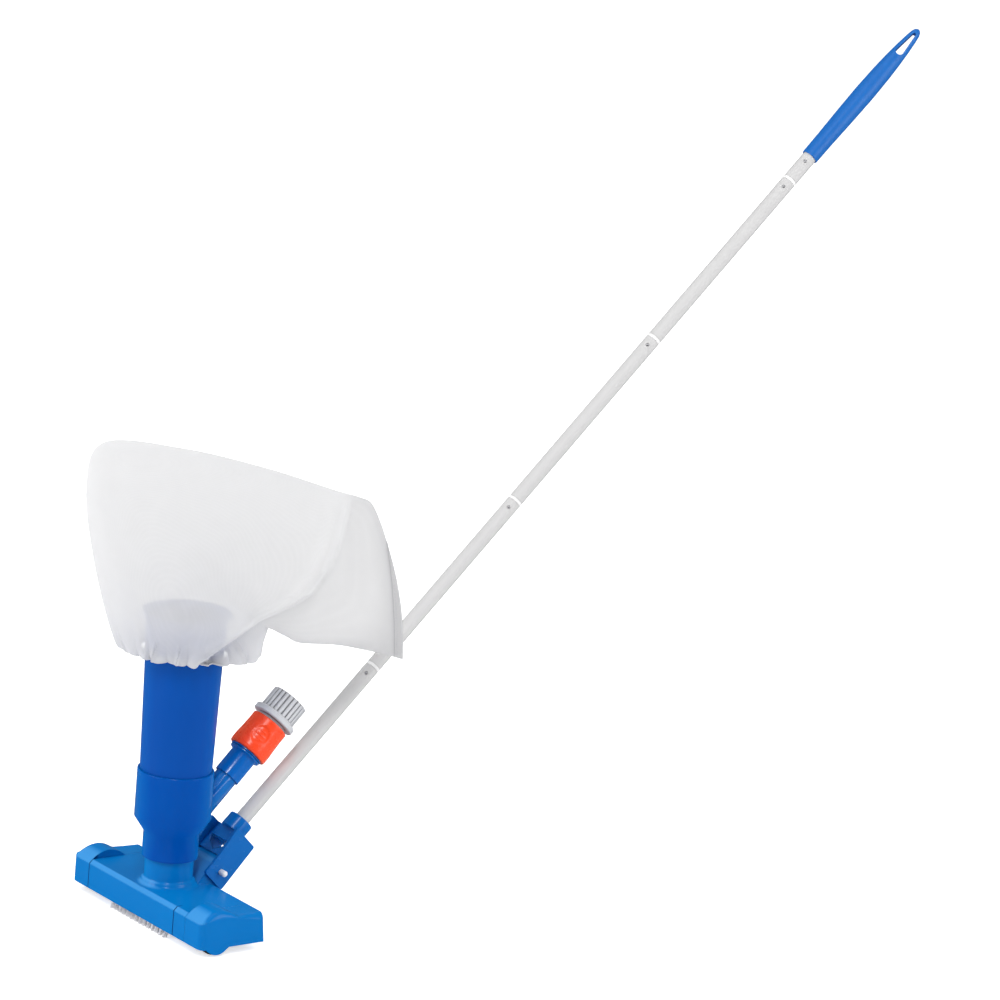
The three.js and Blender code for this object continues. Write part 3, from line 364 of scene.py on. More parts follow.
def mesh_fabric(name="mesh_fabric", cover=0.82, tone=(0.88, 0.88, 0.885)):
    """Fine knitted mesh: crossed threads that let some light and some of what is inside through.

    cover is the share that the threads hide where the cloth is seen face on. Ridges get a painted
    highlight and clefts painted shade.
    """
    g = Graph(name)
    waves = []
    for turn in (0.0, math.pi / 2):
        aim = g.add("ShaderNodeVectorRotate", {"Vector": g.place, "Angle": turn + FABRIC_BIAS})
        aim.rotation_type = "Z_AXIS"
        tilt = g.add("ShaderNodeVectorRotate", {"Vector": aim.outputs[0], "Angle": turn})
        tilt.rotation_type = "X_AXIS"
        wave = g.add("ShaderNodeTexWave", {"Vector": tilt.outputs[0], "Scale": WAVE_PERIOD / FABRIC_PITCH})
        wave.bands_direction = "Z"
        waves.append(wave.outputs["Fac"])
    threads = g.math("MAXIMUM", *waves)
    fuzz = g.noise(16 * MM, 3.0)
    pale = colour(*tone)
    grey = colour(*(0.93 * part for part in tone))
    shade = g.math("MULTIPLY_ADD", fuzz, 0.5, 0.2)
    tint = g.mix(g.math("MULTIPLY_ADD", threads, -0.08, shade), pale, grey)
    # Painted highlight along sharp ridges, and painted shade down the clefts.
    ridge = g.add("ShaderNodeNewGeometry").outputs["Pointiness"]
    tint = g.mix(g.ramp(ridge, 0.515, 0.56, 0.0, 0.9), tint, RIDGE_HIGHLIGHT)
    tint = g.mix(g.ramp(g.openness(CLEFT_WIDTH), 0.4, 0.9, 0.75, 0.0), tint, CLEFT_SHADE)
    yarns = [g.noise(YARN_WIDTH, 2.0, 0.5, stretch) for stretch in ((1, 1, 0.25), (0.25, 0.25, 1))]
    yarn = g.math("ADD", *yarns)
    height = g.math("MULTIPLY_ADD", threads, 0.3, yarn)
    normal = g.bump(height, 0.04 * MM, 0.3)
    matt = g.add("ShaderNodeBsdfDiffuse", {"Color": tint, "Normal": normal, "Roughness": 0.4})
    through = g.add("ShaderNodeBsdfTranslucent", {"Color": tint, "Normal": normal})
    sheet = g.add("ShaderNodeMixShader", {0: 0.42, 1: matt.outputs[0], 2: through.outputs[0]})
    sheen = g.add("ShaderNodeBsdfSheen", {"Color": pale, "Roughness": 0.5, "Normal": normal})
    cloth = g.add("ShaderNodeMixShader", {0: 0.03, 1: sheet.outputs[0], 2: sheen.outputs[0]})
    clear = g.add("ShaderNodeBsdfTransparent")
    lean = g.ramp(g.facing(0.35), 0.0, 0.8, 0.0, 1 - cover)
    solid = g.math("ADD", g.math("MULTIPLY_ADD", threads, 0.02, cover - 0.01), lean)
    held = g.math("MINIMUM", solid, 1.0)
    whole = g.add("ShaderNodeMixShader", {0: held, 1: clear.outputs[0], 2: cloth.outputs[0]})
    g.feed(g.output.inputs["Surface"], whole.outputs[0])
    g.nodes.remove(g.shader)
    return g.material


# One finish for each material slot, then the nodes whose moulding is tinted, or painted with light and
# shade, in its own way.
FINISHES = {
    "blue_plastic": moulded_plastic(
        "blue_plastic", colour(0.0, 0.115, 0.46), colour(0.0, 0.17, 0.58), level=0.6
    ),
    "tube_plastic": extruded_plastic("tube_plastic", colour(0.0, 0.062, 0.34), colour(0.0, 0.105, 0.44)),
    "grip_plastic": satin_plastic(
        "grip_plastic", colour(0.002, 0.13, 0.47), colour(0.001, 0.105, 0.42), 0.42
    ),
    "orange_plastic": moulded_plastic(
        "orange_plastic", colour(0.95, 0.062, 0.014), colour(1.0, 0.12, 0.045), 0.27, level=0.45
    ),
    "grey_plastic": satin_plastic(
        "grey_plastic", colour(0.6, 0.61, 0.64), colour(0.49, 0.5, 0.53), 0.4, groove_shade=0.75
    ),
    "white_plastic": satin_plastic("white_plastic", colour(0.84, 0.84, 0.84), colour(0.74, 0.74, 0.75)),
    "bristle": nylon_filament(),
    "pole_aluminium": anodised_aluminium(),
    "steel": plated_steel(),
    "black_rubber": moulded_rubber(),
    "mesh_fabric": mesh_fabric(),
}
NODE_FINISHES = {
    # The venturi's branch gets painted light: it turns paler from 34 mm to the rear.
    "venturi_body": moulded_plastic(
        "venturi_plastic", colour(0.0, 0.062, 0.35), colour(0.0, 0.14, 0.48), level=0.1, pale_past=34 * MM
    ),
    "swivel_bracket": moulded_plastic(
        "bracket_plastic", colour(0.0, 0.125, 0.45), colour(0.0, 0.18, 0.56), 0.26, level=0.3
    ),
}
# The head's finish paints a highlight on its front chamfer and shade in the joints between its mouldings.
HEAD_FINISH = moulded_plastic(
    "head_plastic", colour(0.0, 0.15, 0.47), colour(0.001, 0.2, 0.56), 0.22, level=0.15, seams=HEAD_SEAMS
)
for part in ("head_shell", "end_cap_left", "end_cap_right", "base_plate"):
    NODE_FINISHES[part] = HEAD_FINISH
HEM_FABRIC = mesh_fabric("hem_fabric", 0.93, (0.87, 0.87, 0.875))
THREAD = satin_plastic("sewing_thread", colour(0.8, 0.8, 0.81), colour(0.62, 0.62, 0.64), 0.6)


# ---- Mesh helpers -------------------------------------------------------------------------------


def finished(piece, node, sharp, material=None):
    """Links a piece, shades it smooth up to edges of sharp degrees, and puts it in a CAD node's place."""
    SCENE.collection.objects.link(piece)
    mesh = piece.data
    mesh.materials.clear()
    mesh.materials.append(material or NODE_FINISHES.get(node, FINISHES[SLOT_OF[node]]))
    mesh.shade_smooth()
    mesh.set_sharp_from_angle(angle=math.radians(sharp))
    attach(piece, BODY_OF[node])
    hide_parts(node)


def mesh_piece(name, points, faces, node, sharp, material=None):
    """A new piece from points and faces, in the place of a CAD node."""
    mesh = bpy.data.meshes.new(name)
    mesh.from_pydata([tuple(point) for point in points], [], faces)
    mesh.update()
    finished(bpy.data.objects.new(name, mesh), node, sharp, material)


def smooth_copy(node):
    """The node's own shape with its flat facets merged, shaded so that round faces look round."""
    mesh = NODES[node].data.copy()
    shape = bmesh.new()
    shape.from_mesh(mesh)
    bmesh.ops.remove_doubles(shape, verts=shape.verts, dist=0.002 * MM)
    bmesh.ops.dissolve_limit(
        shape, angle_limit=math.radians(0.5), verts=shape.verts, edges=shape.edges, delimit={"SEAM"}
    )
    bmesh.ops.recalc_face_normals(shape, faces=shape.faces)
    shape.to_mesh(mesh)
    shape.free()
    piece = bpy.data.objects.new(node + "_skin", mesh)
    finished(piece, node, 30)
    weigh = piece.modifiers.new("weigh", "WEIGHTED_NORMAL")
    weigh.keep_sharp = True


def grid_faces(rows, columns, start=0):
    """Quads over rows of points, each row closed on itself."""
    faces = []
    for row in range(rows - 1):
        for column in range(columns):
            a = start + row * columns + column
            b = start + row * columns + (column + 1) % columns
            faces.append((a, b, b + columns, a + columns))
    return faces


def turned(profile, sides, place, spread):
    """Points and faces of a closed turned body. spread(radius, height, turn) moves its skin in or out."""
    points = []
    for radius, height in profile:
        for side in range(sides):
            turn = 2 * math.pi * side / sides
            reach = spread(radius, height, turn)
            points.append(place @ Vector((reach * math.cos(turn), reach * math.sin(turn), height)))
    faces = grid_faces(len(profile), sides)
    last = (len(profile) - 1) * sides
    for side in range(sides):
        after = (side + 1) % sides
        faces.append((last + side, last + after, after, side))
    return points, faces


def resampled(outline, step):
    """An open outline with extra points, so that no stretch of it is longer than step."""
    fine = [outline[0]]
    for a, b in zip(outline, outline[1:]):
        count = max(1, math.ceil(math.dist(a, b) / step))
        fine += [tuple(p + (q - p) * i / count for p, q in zip(a, b)) for i in range(1, count + 1)]
    return fine


def smoothstep(value, low, high):
    """0 up to low, 1 from high, and an even S between them."""
    share = min(1.0, max(0.0, (value - low) / (high - low)))
    return share * share * (3 - 2 * share)


def catmull(values, place):
    """A smooth curve through evenly spaced values (numbers or vectors), at place from 0 to 1."""
    spot = min(max(place, 0.0), 1.0) * (len(values) - 1)
    i = min(int(spot), len(values) - 2)
    t = spot - i
    before, a, b = values[max(i - 1, 0)], values[i], values[i + 1]
    after = values[min(i + 2, len(values) - 1)]
    return 0.5 * (
        2 * a + (b - before) * t
        + (2 * before - 5 * a + 4 * b - after) * t * t
        + (3 * a - before - 3 * b + after) * t * t * t
    )


# ---- Bag ----------------------------------------------------------------------------------------

# The bag hangs in an upright plane. Along is measured in that plane from the riser axis, heights are
# above the floor, and each section runs from the lower edge to the upper edge: (along, height) of both
# and half the bag's thickness there, all in millimetres.
BAG_TURN = math.radians(53.3)
BAG_ALONG = Vector((math.cos(BAG_TURN), math.sin(BAG_TURN), 0))
BAG_FRONT = Vector((math.sin(BAG_TURN), -math.cos(BAG_TURN), 0))
BAG_SECTIONS = (
    ((46.5, 290.3), (-46.5, 294.2), 46.5),
    ((58, 291), (-57, 296.5), 51),
    ((75, 290), (-74, 301), 58),
    ((81, 309), (-99, 379), 64),
    ((84, 321), (-112, 456), 60),
    ((86, 321.5), (-97, 503), 54),
    ((90, 320), (-14, 503), 44),
    ((104, 314), (70, 490), 34),
    ((118, 309), (140, 473.5), 25),
    ((155, 310), (167, 468), 16),
    ((185, 307), (180, 462), 9),
    ((209, 303.5), (193, 437), 4.5),
    ((224, 300.5), (204.5, 405), 2.2),
)
BAG_ROWS = 160
BAG_COLUMNS = 480
ROW_CROWDING = 1.15
END_BULGE = 4.0

# Wide uneven hollows of the hanging cloth and smaller ones on top of them.
SAG_SIZE, SAG_DEPTH = 60, 2.2
RIPPLE_SHARE, RIPPLE_DEPTH = 2.7, 0.8

# The mouth sits round the tube, a little lower on the pole's side. Its cloth gathers into puffs that hang
# below the elastic; the gathers fade out up the bag and the hang fades sooner.
MOUTH_HEIGHT = 292.0
MOUTH_TILT = 0.04
MOUTH_RADIUS = 46.6
MOUTH_COLUMNS = 600
MOUTH_SIDES = 16
PUFFS = 21
PUFF_HANG = 2.6
HANG_FADE = 3
GATHER_DEPTH = 6.0
GATHER_FADE = 10

# The cloth stays clear of the tube and, above LIP_FOOT, of the flared lip at its top.
TUBE_CLEARANCE = 43.2
LIP_CLEARANCE = 47.6
LIP_FOOT = 300
LIP_FLARE = 326
LIP_HEIGHT = 332.5

# The front fold: places it runs through as (along, height), how far the cloth behind it is tucked in, as a
# share of the bag's half thickness, and the roll that stands proud beside it.
FOLD = (
    (4.5, 282), (42, 312), (80, 338), (102, 351), (122, 366), (138, 392), (147, 420), (152, 452), (156, 500),
)
FOLD_TUCK = 0.62
ROLL_HEIGHT = 4.2
ROLL_WIDTH = 9

# Single creases that climb from the mouth: where round the bag they start and end in degrees, how far up
# they reach and how proud they stand in millimetres.
CREASES = (
    (248, 233, 36, 5.0), (226, 218, 20, 3.6), (196, 190, 18, 3.4), (252, 256, 22, 3.2), (262, 266, 18, 3.6),
    (278, 283, 13, 2.6), (298, 306, 18, 3.0), (212, 206, 24, 3.4), (150, 156, 22, 3.0), (95, 91, 22, 3.0),
    (60, 54, 20, 3.0), (20, 26, 22, 3.0), (120, 112, 24, 3.0),
)
CREASE_WIDTH = 1.5


def fold_along(height):
    """Where the front fold lies, along the bag's plane, at a height."""
    for (a, low), (b, high) in zip(FOLD, FOLD[1:]):
        if height <= high:
            share = max(0.0, (height - low) / (high - low))
            return a + (b - a) * share
    return FOLD[-1][0]


def bag_point(row_share, turn):
    """A point of the bag's skin: row_share runs from the mouth to the closed end, turn goes round it."""
    lower = catmull([Vector(section[0]) for section in BAG_SECTIONS], row_share)
    upper = catmull([Vector(section[1]) for section in BAG_SECTIONS], row_share)
    half = catmull([float(section[2]) for section in BAG_SECTIONS], row_share)
    centre = (lower + upper) / 2
    reach = (lower - upper) / 2
    spot = centre + reach * math.cos(turn)
    along, height = spot
    along += END_BULGE * math.sin(turn) ** 2 * smoothstep(row_share, 0.85, 1.0)
    depth = half * math.sin(turn)
    if depth > 0:
        past = along - fold_along(height)
        away = smoothstep(row_share, 0.05, 0.3)
        tucked = smoothstep(past, -3, 5) * FOLD_TUCK * away
        beside = math.exp(-(((past + ROLL_WIDTH) / ROLL_WIDTH) ** 2))
        depth = depth * (1 - tucked) + ROLL_HEIGHT * beside * away * smoothstep(depth, 2, 14)
    return along, height, depth


def puff(turn):
    """Rounded puffs between the gathers of the mouth, of uneven size: 0 in the clefts, about 1 at most."""
    ring = Vector((math.cos(turn), math.sin(turn), 0))
    drift = 1.3 * noise.noise(ring * 1.6 + Vector((0, 0, 3.1)))
    size = 0.72 + 0.5 * noise.noise(ring * 3 + Vector((0, 0, 8.7)))
    return size * abs(math.sin(PUFFS * turn / 2 + drift)) ** 0.7


def pleat(along, depth, height):
    """How far the gathers at the mouth push the skin out, fading over the first few centimetres."""
    rise = max(0.0, height - MOUTH_HEIGHT)
    turn = math.atan2(depth, along)
    gathers = (puff(turn) - 0.4) * GATHER_DEPTH * math.exp(-rise / GATHER_FADE)
    return gathers + creases(math.degrees(turn) % 360, rise, math.hypot(along, depth))


def creases(turn, rise, radius):
    """How far the single creases stand out at a turn in degrees and a rise above the mouth."""
    total = 0.0
    for start, end, reach, proud in CREASES:
        if rise < reach:
            off = math.radians(turn - start - (end - start) * rise / reach) * radius
            fading = 1 - smoothstep(rise, 0.5 * reach, reach)
            total += proud * math.exp(-((off / CREASE_WIDTH) ** 2)) * fading
    return total


def gathered(along, height, depth, share):
    """The point pushed in or out by the gathers, and let down where the puffs of the mouth hang."""
    outward = Vector((along, depth))
    if outward.length > 1e-6:
        outward.normalize()
    push = pleat(along, depth, height) * (1 - smoothstep(share, 0.2, 0.4))
    along += outward.x * push
    depth += outward.y * push
    swell = puff(math.atan2(depth, along))
    height -= PUFF_HANG * swell * math.exp(-max(0.0, height - MOUTH_HEIGHT) / HANG_FADE)
    return along, height, depth


def clear_of_tube(along, height, depth):
    """The point moved straight out from the riser's axis until the tube and its lip are clear."""
    if height < LIP_HEIGHT + 4:
        flare = smoothstep(height, LIP_FOOT, LIP_FLARE)
        floor_radius = TUBE_CLEARANCE + (LIP_CLEARANCE - TUBE_CLEARANCE) * flare
        radius = math.hypot(along, depth)
        if radius < floor_radius:
            along *= floor_radius / radius
            depth *= floor_radius / radius
    return along, height, depth


def bag_skin():
    """Rows of bag points in the frame, from the mouth to the closed end."""
    points = []
    for row in range(BAG_ROWS):
        share = (row / (BAG_ROWS - 1)) ** ROW_CROWDING
        for column in range(BAG_COLUMNS):
            smooth = bag_point(share, 2 * math.pi * column / BAG_COLUMNS)
            along, height, depth = clear_of_tube(*gathered(*smooth, share))
            spot = Vector((along, height, depth)) / SAG_SIZE
            ripple = RIPPLE_DEPTH * noise.noise(spot * RIPPLE_SHARE + Vector((4, 1, 2)))
            sag = SAG_DEPTH * noise.noise(spot) + ripple
            depth += sag * smoothstep(share, 0.12, 0.3) * smoothstep(abs(depth), 1, 12)
            points.append(in_bag_plane(along, height, depth))
    return points


def in_bag_plane(along, height, depth):
    """A place of the bag in the frame: along its plane, above the floor and out of it to the front."""
    return BAG_ALONG * along * MM + BAG_FRONT * depth * MM + Vector((0, 0, height * MM + FLOOR_Z))


def build_bag():
    """The cloth from the mouth to the closed end, where the last row is sewn shut across its width."""
    points = bag_skin()
    faces = grid_faces(BAG_ROWS, BAG_COLUMNS)
    end = (BAG_ROWS - 1) * BAG_COLUMNS
    half = BAG_COLUMNS // 2
    for i in range(half):
        a, b = end + i, end + i + 1
        c, d = end + (BAG_COLUMNS - i - 1) % BAG_COLUMNS, end + (BAG_COLUMNS - i) % BAG_COLUMNS
        # At both edges two of the corners fall together, and the face has three.
        faces.append(tuple(dict.fromkeys((a, b, c, d))))
    mesh_piece("bag_cloth", points, faces, "bag", 60)


# The sewn band and its stitches. Starts, rows and spans are shares of the bag's length and width, lifts are
# millimetres off the cloth.
HEM_START = 0.945
HEM_ROWS = 14
HEM_PROUD = 0.4
HEM_LIFT = 0.5
HEM_CROWN = 0.7
STITCH_ROWS = (0.955, 0.985)
STITCHES = 46
STITCH_RADIUS = 0.28 * MM
STITCH_LIFT = 1.35
STITCHED_FROM = 0.12
STITCHED_SPAN = 0.76


def build_bag_hem():
    """The sewn band over the closed end."""
    points = []
    for row in range(HEM_ROWS):
        across = row / (HEM_ROWS - 1)
        share = HEM_START + (1 - HEM_START) * across
        lift = HEM_LIFT + HEM_CROWN * math.sin(math.pi * (0.15 + 0.7 * across))
        for column in range(BAG_COLUMNS):
            turn = 2 * math.pi * column / BAG_COLUMNS
            along, height, depth = bag_point(share, turn)
            side = math.copysign(1.0, math.sin(turn)) * smoothstep(abs(math.sin(turn)), 0.0, 0.15)
            points.append(in_bag_plane(along + HEM_PROUD, height, depth + side * lift))
    mesh_piece("bag_hem", points, grid_faces(HEM_ROWS, BAG_COLUMNS), "bag", 60, HEM_FABRIC)


def build_bag_stitches():
    """Two rows of stitches through the band, on both faces of the bag."""
    points, faces = [], []
    pitch = STITCHED_SPAN / (STITCHES - 1)
    for share in STITCH_ROWS:
        for side in (1, -1):
            for stitch in range(STITCHES):
                place = STITCHED_FROM + pitch * stitch
                ends = []
                for part in (-0.3, 0.3):
                    turn = math.pi * (place + part * pitch)
                    along, height, depth = bag_point(share, side * turn)
                    ends.append(in_bag_plane(along + HEM_PROUD, height, depth + side * STITCH_LIFT))
                add_rod(points, faces, ends[0], ends[1], STITCH_RADIUS, 6)
    mesh_piece("bag_stitches", points, faces, "bag", 60, THREAD)


def add_rod(points, faces, a, b, radius, sides, taper=1.0):
    """A closed rod from a to b with domed ends, added to points and faces."""
    axis = (b - a).normalized()
    across = axis.orthogonal().normalized()
    other = axis.cross(across)
    start = len(points)
    rings = ((a, 0.6), (a + axis * radius * 0.5, 1.0), (b - axis * radius * 0.5, taper), (b, 0.6 * taper))
    for middle, share in rings:
        for side in range(sides):
            turn = 2 * math.pi * side / sides
            points.append(middle + (across * math.cos(turn) + other * math.sin(turn)) * radius * share)
    faces += grid_faces(len(rings), sides, start)
    faces.append(tuple(start + side for side in reversed(range(sides))))
    last = start + (len(rings) - 1) * sides
    faces.append(tuple(last + side for side in range(sides)))


def build_bag_mouth():
    """The channel round the tube that holds the elastic, drawn together into rounded puffs."""
    points = []
    for i in range(MOUTH_COLUMNS):
        turn = 2 * math.pi * i / MOUTH_COLUMNS
        swell = puff(turn)
        middle = MOUTH_HEIGHT + 0.6 - MOUTH_TILT * MOUTH_RADIUS * math.cos(turn)
        for j in range(MOUTH_SIDES):
            swing = 2 * math.pi * j / MOUTH_SIDES
            # low is 1 along the bottom of the channel and 0 along its top.
            low = 0.5 - 0.5 * math.sin(swing)
            radius = MOUTH_RADIUS + 0.9 * swell + (1.5 + 0.8 * swell) * math.cos(swing)
            height = middle - PUFF_HANG * swell * low + (1.6 + 0.4 * swell) * math.sin(swing)
            points.append(in_bag_plane(radius * math.cos(turn), height, radius * math.sin(turn)))
    faces = grid_faces(MOUTH_COLUMNS, MOUTH_SIDES)
    last = (MOUTH_COLUMNS - 1) * MOUTH_SIDES
    for j in range(MOUTH_SIDES):
        after = (j + 1) % MOUTH_SIDES
        faces.append((last + j, last + after, after, j))
    mesh_piece("bag_mouth", points, faces, "bag_elastic", 180, HEM_FABRIC)


# ---- Brushes ------------------------------------------------------------------------------------

TUFTS = 14
FILAMENTS = 30
BRUSH_HALF_LENGTH = 54 * MM
TUFT_RADIUS = 1.9 * MM
FILAMENT_RADIUS = 0.24 * MM
BRISTLE_LEAN = 2.8 * MM


def build_bristles(node, seed):
    """Round tufts of thin filaments that splay a little towards the floor and lean away from the slot."""
    draw = random.Random(seed)
    low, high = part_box(node)
    middle = (low.y + high.y) / 2
    points, faces = [], []
    for tuft in range(TUFTS):
        root_x = -BRUSH_HALF_LENGTH + 2 * BRUSH_HALF_LENGTH * (tuft + 0.5) / TUFTS
        foot = Vector((root_x, middle, 0))
        for _ in range(FILAMENTS):
            turn = draw.uniform(0, 2 * math.pi)
            reach = TUFT_RADIUS * math.sqrt(draw.random())
            off = Vector((reach * math.cos(turn), reach * math.sin(turn), 0))
            root = foot + off
            root.z = high.z + 0.2 * MM
            tip = foot + draw.uniform(1.15, 1.7) * off
            tip.y += math.copysign(BRISTLE_LEAN, middle)
            tip.z = FLOOR_Z + draw.uniform(0.0, 0.7) * MM
            add_rod(points, faces, root, tip, FILAMENT_RADIUS, 6, 0.8)
    mesh_piece(node + "_filaments", points, faces, node, 50)


# ---- Hose coupler -------------------------------------------------------------------------------

# Heights are along the branch, in millimetres. The thumb recess is an oval with ribs across it.
COLLAR_START = 125.4
COLLAR_END = 164.7
COLLAR_RADIUS = 22.0
THUMB_TURN = math.radians(-38)
THUMB_HALF_ANGLE = 0.5
THUMB_HALF_LENGTH = 11.5
THUMB_DEPTH = 0.8
RIB_HEIGHT = 0.5
RIB_PITCH = 4.6


def collar_skin(radius, height, turn):
    """Two oval thumb recesses with cross ribs, on opposite sides of the collar's outside."""
    if radius < (COLLAR_RADIUS - 3) * MM:
        return radius
    rise = height - (COLLAR_START + COLLAR_END) / 2 * MM
    dip = 0.0
    for side in (0.0, math.pi):
        off = (turn - THUMB_TURN - side + math.pi) % (2 * math.pi) - math.pi
        oval = math.hypot(off / THUMB_HALF_ANGLE, rise / (THUMB_HALF_LENGTH * MM))
        hollow = 1 - smoothstep(oval, 0.72, 1.0)
        rib = max(0.0, math.cos(rise / (RIB_PITCH * MM) * 2 * math.pi)) ** 3
        dip += hollow * (THUMB_DEPTH - RIB_HEIGHT * rib * (1 - smoothstep(oval, 0.3, 0.75))) * MM
    return radius - dip


def build_collar():
    """The waisted release collar with its recesses, turned about the branch."""
    radius, start, end = COLLAR_RADIUS, COLLAR_START, COLLAR_END
    bore, seat, ledge = 14.6, 17.2, start + 3.1
    outline = [
        (bore, start), (radius - 1.6, start), (radius - 0.75, start + 0.35), (radius - 0.4, start + 1),
        (radius, start + 4), (radius - 0.1, start + 11), (radius - 0.7, start + 20),
        (radius - 1.1, start + 30), (radius - 1, end - 1.4), (radius - 1.25, end - 0.45), (radius - 2, end),
        (seat, end), (seat, ledge), (bore, ledge),
    ]
    profile = [(r * MM, z * MM) for r, z in resampled(outline, 0.6)]
    points, faces = turned(profile, 180, BRANCH, collar_skin)
    mesh_piece("release_collar_skin", points, faces, "release_collar", 38)


# ---- Assembly -----------------------------------------------------------------------------------

BUILT_ANEW = {"bag", "bag_elastic", "bristles_front", "bristles_rear", "release_collar"}
BURIED = {"jet_nozzle", "nipple_seal", "coupler_seal", "collar_spring", "latch_claw_1", "latch_claw_2"}


def dress_nodes():
    """Smooth copies for what shows, and the node itself with its finish for what is buried inside."""
    for node in sorted(set(NODES) - BUILT_ANEW):
        if node in BURIED or node.startswith("button_spring"):
            mesh = NODES[node].data
            mesh.materials.clear()
            mesh.materials.append(NODE_FINISHES.get(node, FINISHES[SLOT_OF[node]]))
        else:
            smooth_copy(node)


dress_nodes()
build_bag()
build_bag_hem()
build_bag_stitches()
build_bag_mouth()
build_bristles("bristles_front", 11)
build_bristles("bristles_rear", 23)
build_collar()


# ---- Studio -------------------------------------------------------------------------------------

# A long lens beyond the head's right end, ahead of it and above it, rolled a little: where it stands and its
# own axes. The lens and the sensor are in millimetres.
CAMERA_PLACE = Vector((4.0943, -2.7921, 1.6929))
CAMERA_RIGHT = Vector((0.595, 0.7992, 0.0848))
CAMERA_UP = Vector((-0.2425, 0.0779, 0.967))
CAMERA_BACK = Vector((0.7663, -0.5959, 0.2402))
CAMERA_LENS = 180.04
SENSOR = 36.0


def build_camera():
    """The camera that matches the photograph's view."""
    data = bpy.data.cameras.new("camera")
    data.lens = CAMERA_LENS
    data.sensor_width = SENSOR
    data.clip_start, data.clip_end = 0.05, 200
    camera = bpy.data.objects.new("camera", data)
    SCENE.collection.objects.link(camera)
    turn = Matrix((CAMERA_RIGHT, CAMERA_UP, CAMERA_BACK)).transposed().to_4x4()
    camera.matrix_world = Matrix.Translation(CAMERA_PLACE) @ turn
    SCENE.camera = camera


FLOOR_REACH = 60.0
FLOOR_WASH = 0.6


def build_floor():
    """A wide pale floor, dim in reflections, so that the glossy parts keep their own colour."""
    g = Graph("studio_floor")
    tone = g.mix(g.noise(0.4, 2.0), colour(0.95, 0.95, 0.95), colour(0.93, 0.93, 0.93))
    g.feed(g.shader.inputs["Base Color"], tone)
    g.feed(g.shader.inputs["Roughness"], 0.9)
    g.feed(g.shader.inputs["Specular IOR Level"], 0.0)
    dim = g.add("ShaderNodeBsdfDiffuse", {"Color": colour(0.12, 0.12, 0.13)})
    path = g.add("ShaderNodeLightPath")
    wanted = {0: path.outputs["Is Glossy Ray"], 1: g.shader.outputs[0], 2: dim.outputs[0]}
    both = g.add("ShaderNodeMixShader", wanted)
    seen = g.math("MULTIPLY", path.outputs["Is Camera Ray"], FLOOR_WASH)
    wash = g.add("ShaderNodeEmission", {"Strength": seen})
    lit = g.add("ShaderNodeAddShader", {0: both.outputs[0], 1: wash.outputs[0]})
    g.feed(g.output.inputs["Surface"], lit.outputs[0])
    mesh = bpy.data.meshes.new("floor")
    corners = [(x * FLOOR_REACH, y * FLOOR_REACH, 0) for x, y in ((-1, -1), (1, -1), (1, 1), (-1, 1))]
    mesh.from_pydata(corners, [], [(0, 1, 2, 3)])
    mesh.materials.append(g.material)
    floor = bpy.data.objects.new("floor", mesh)
    floor.location.z = FLOOR_Z
    SCENE.collection.objects.link(floor)


def soft_box(name, place, aim, size, power):
    """A lamp of a size in metres and a power in watts that faces aim."""
    data = bpy.data.lights.new(name, "AREA")
    data.shape = "RECTANGLE"
    data.size, data.size_y = size
    data.energy = power
    light = bpy.data.objects.new(name, data)
    light.location = place
    light.rotation_euler = (Vector(place) - Vector(aim)).to_track_quat("Z", "Y").to_euler()
    SCENE.collection.objects.link(light)


# Strength of the world's light from behind the object, from the camera's side, and in reflections.
WORLD_BEHIND, WORLD_AHEAD = 0.72, 0.25
REFLECTED_WORLD = 0.12


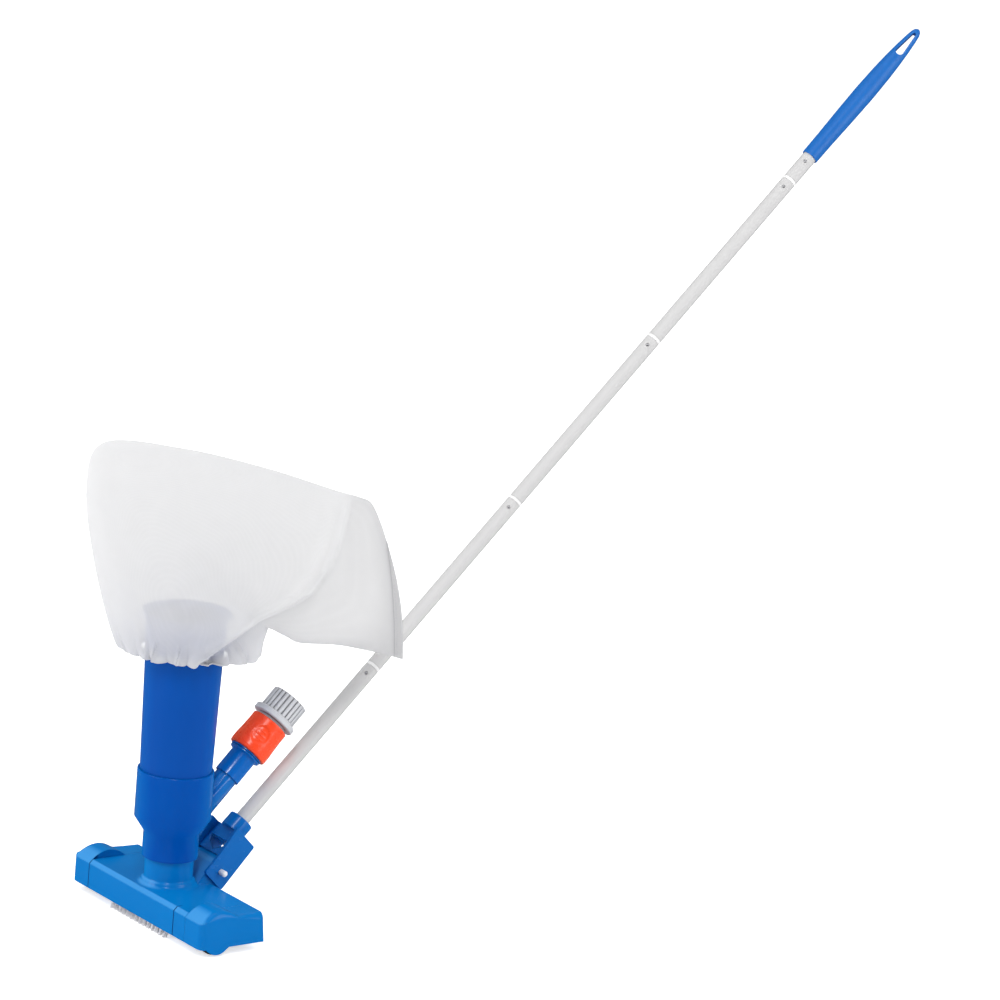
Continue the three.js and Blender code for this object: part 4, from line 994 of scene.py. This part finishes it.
def build_world():
    """White to the camera; to the object, dimmer from the camera's side than from above and behind."""
    world = bpy.data.worlds.new("studio")
    SCENE.world = world
    world.use_nodes = True
    nodes, links = world.node_tree.nodes, world.node_tree.links
    shade = nodes["Background"]
    where = nodes.new("ShaderNodeTexCoord")
    toward = nodes.new("ShaderNodeVectorMath")
    toward.operation = "DOT_PRODUCT"
    toward.inputs[1].default_value = Vector((CAMERA_BACK.x, CAMERA_BACK.y, 0)).normalized()
    links.new(where.outputs["Generated"], toward.inputs[0])
    spread = nodes.new("ShaderNodeMapRange")
    wanted = {"From Min": -0.3, "From Max": 0.8, "To Min": WORLD_BEHIND, "To Max": WORLD_AHEAD}
    for key, value in wanted.items():
        spread.inputs[key].default_value = value
    links.new(toward.outputs["Value"], spread.inputs["Value"])
    path = nodes.new("ShaderNodeLightPath")
    mirrored = nodes.new("ShaderNodeMapRange")
    mirrored.inputs["To Min"].default_value = 1.0
    mirrored.inputs["To Max"].default_value = REFLECTED_WORLD
    links.new(path.outputs["Is Glossy Ray"], mirrored.inputs["Value"])
    dimmed = nodes.new("ShaderNodeMath")
    dimmed.operation = "MULTIPLY"
    links.new(spread.outputs[0], dimmed.inputs[0])
    links.new(mirrored.outputs[0], dimmed.inputs[1])
    strength = nodes.new("ShaderNodeMath")
    strength.operation = "MAXIMUM"
    links.new(dimmed.outputs[0], strength.inputs[0])
    links.new(path.outputs["Is Camera Ray"], strength.inputs[1])
    links.new(strength.outputs[0], shade.inputs["Strength"])
    shade.inputs["Color"].default_value = (1, 1, 1, 1)


def build_lights():
    """Soft boxes at both sides of the camera, overhead, and a strip high in front that draws the streaks."""
    aim = Vector((0, 0.2, 0.3))
    ahead = Vector((CAMERA_BACK.x, CAMERA_BACK.y, 0)).normalized()
    right = Vector((CAMERA_RIGHT.x, CAMERA_RIGHT.y, 0)).normalized()
    soft_box("left_box", aim - right * 4.6 + ahead * 1.7 + Vector((0, 0, 1.8)), aim, (2.4, 4.4), 147)
    soft_box("right_box", aim + right * 4.6 + ahead * 2.1 + Vector((0, 0, 1.8)), aim, (2.4, 4.4), 126)
    soft_box("top_box", aim + Vector((0, 0.3, 5.4)), aim, (3.6, 3.6), 46)
    soft_box("front_strip", aim + ahead * 3.6 - right * 0.3 + Vector((0, 0, 4.0)), aim, (0.7, 2.2), 92)


build_camera()
build_floor()
build_world()
build_lights()
SCENE.view_settings.view_transform = "Standard"
SCENE.view_settings.look = "None"
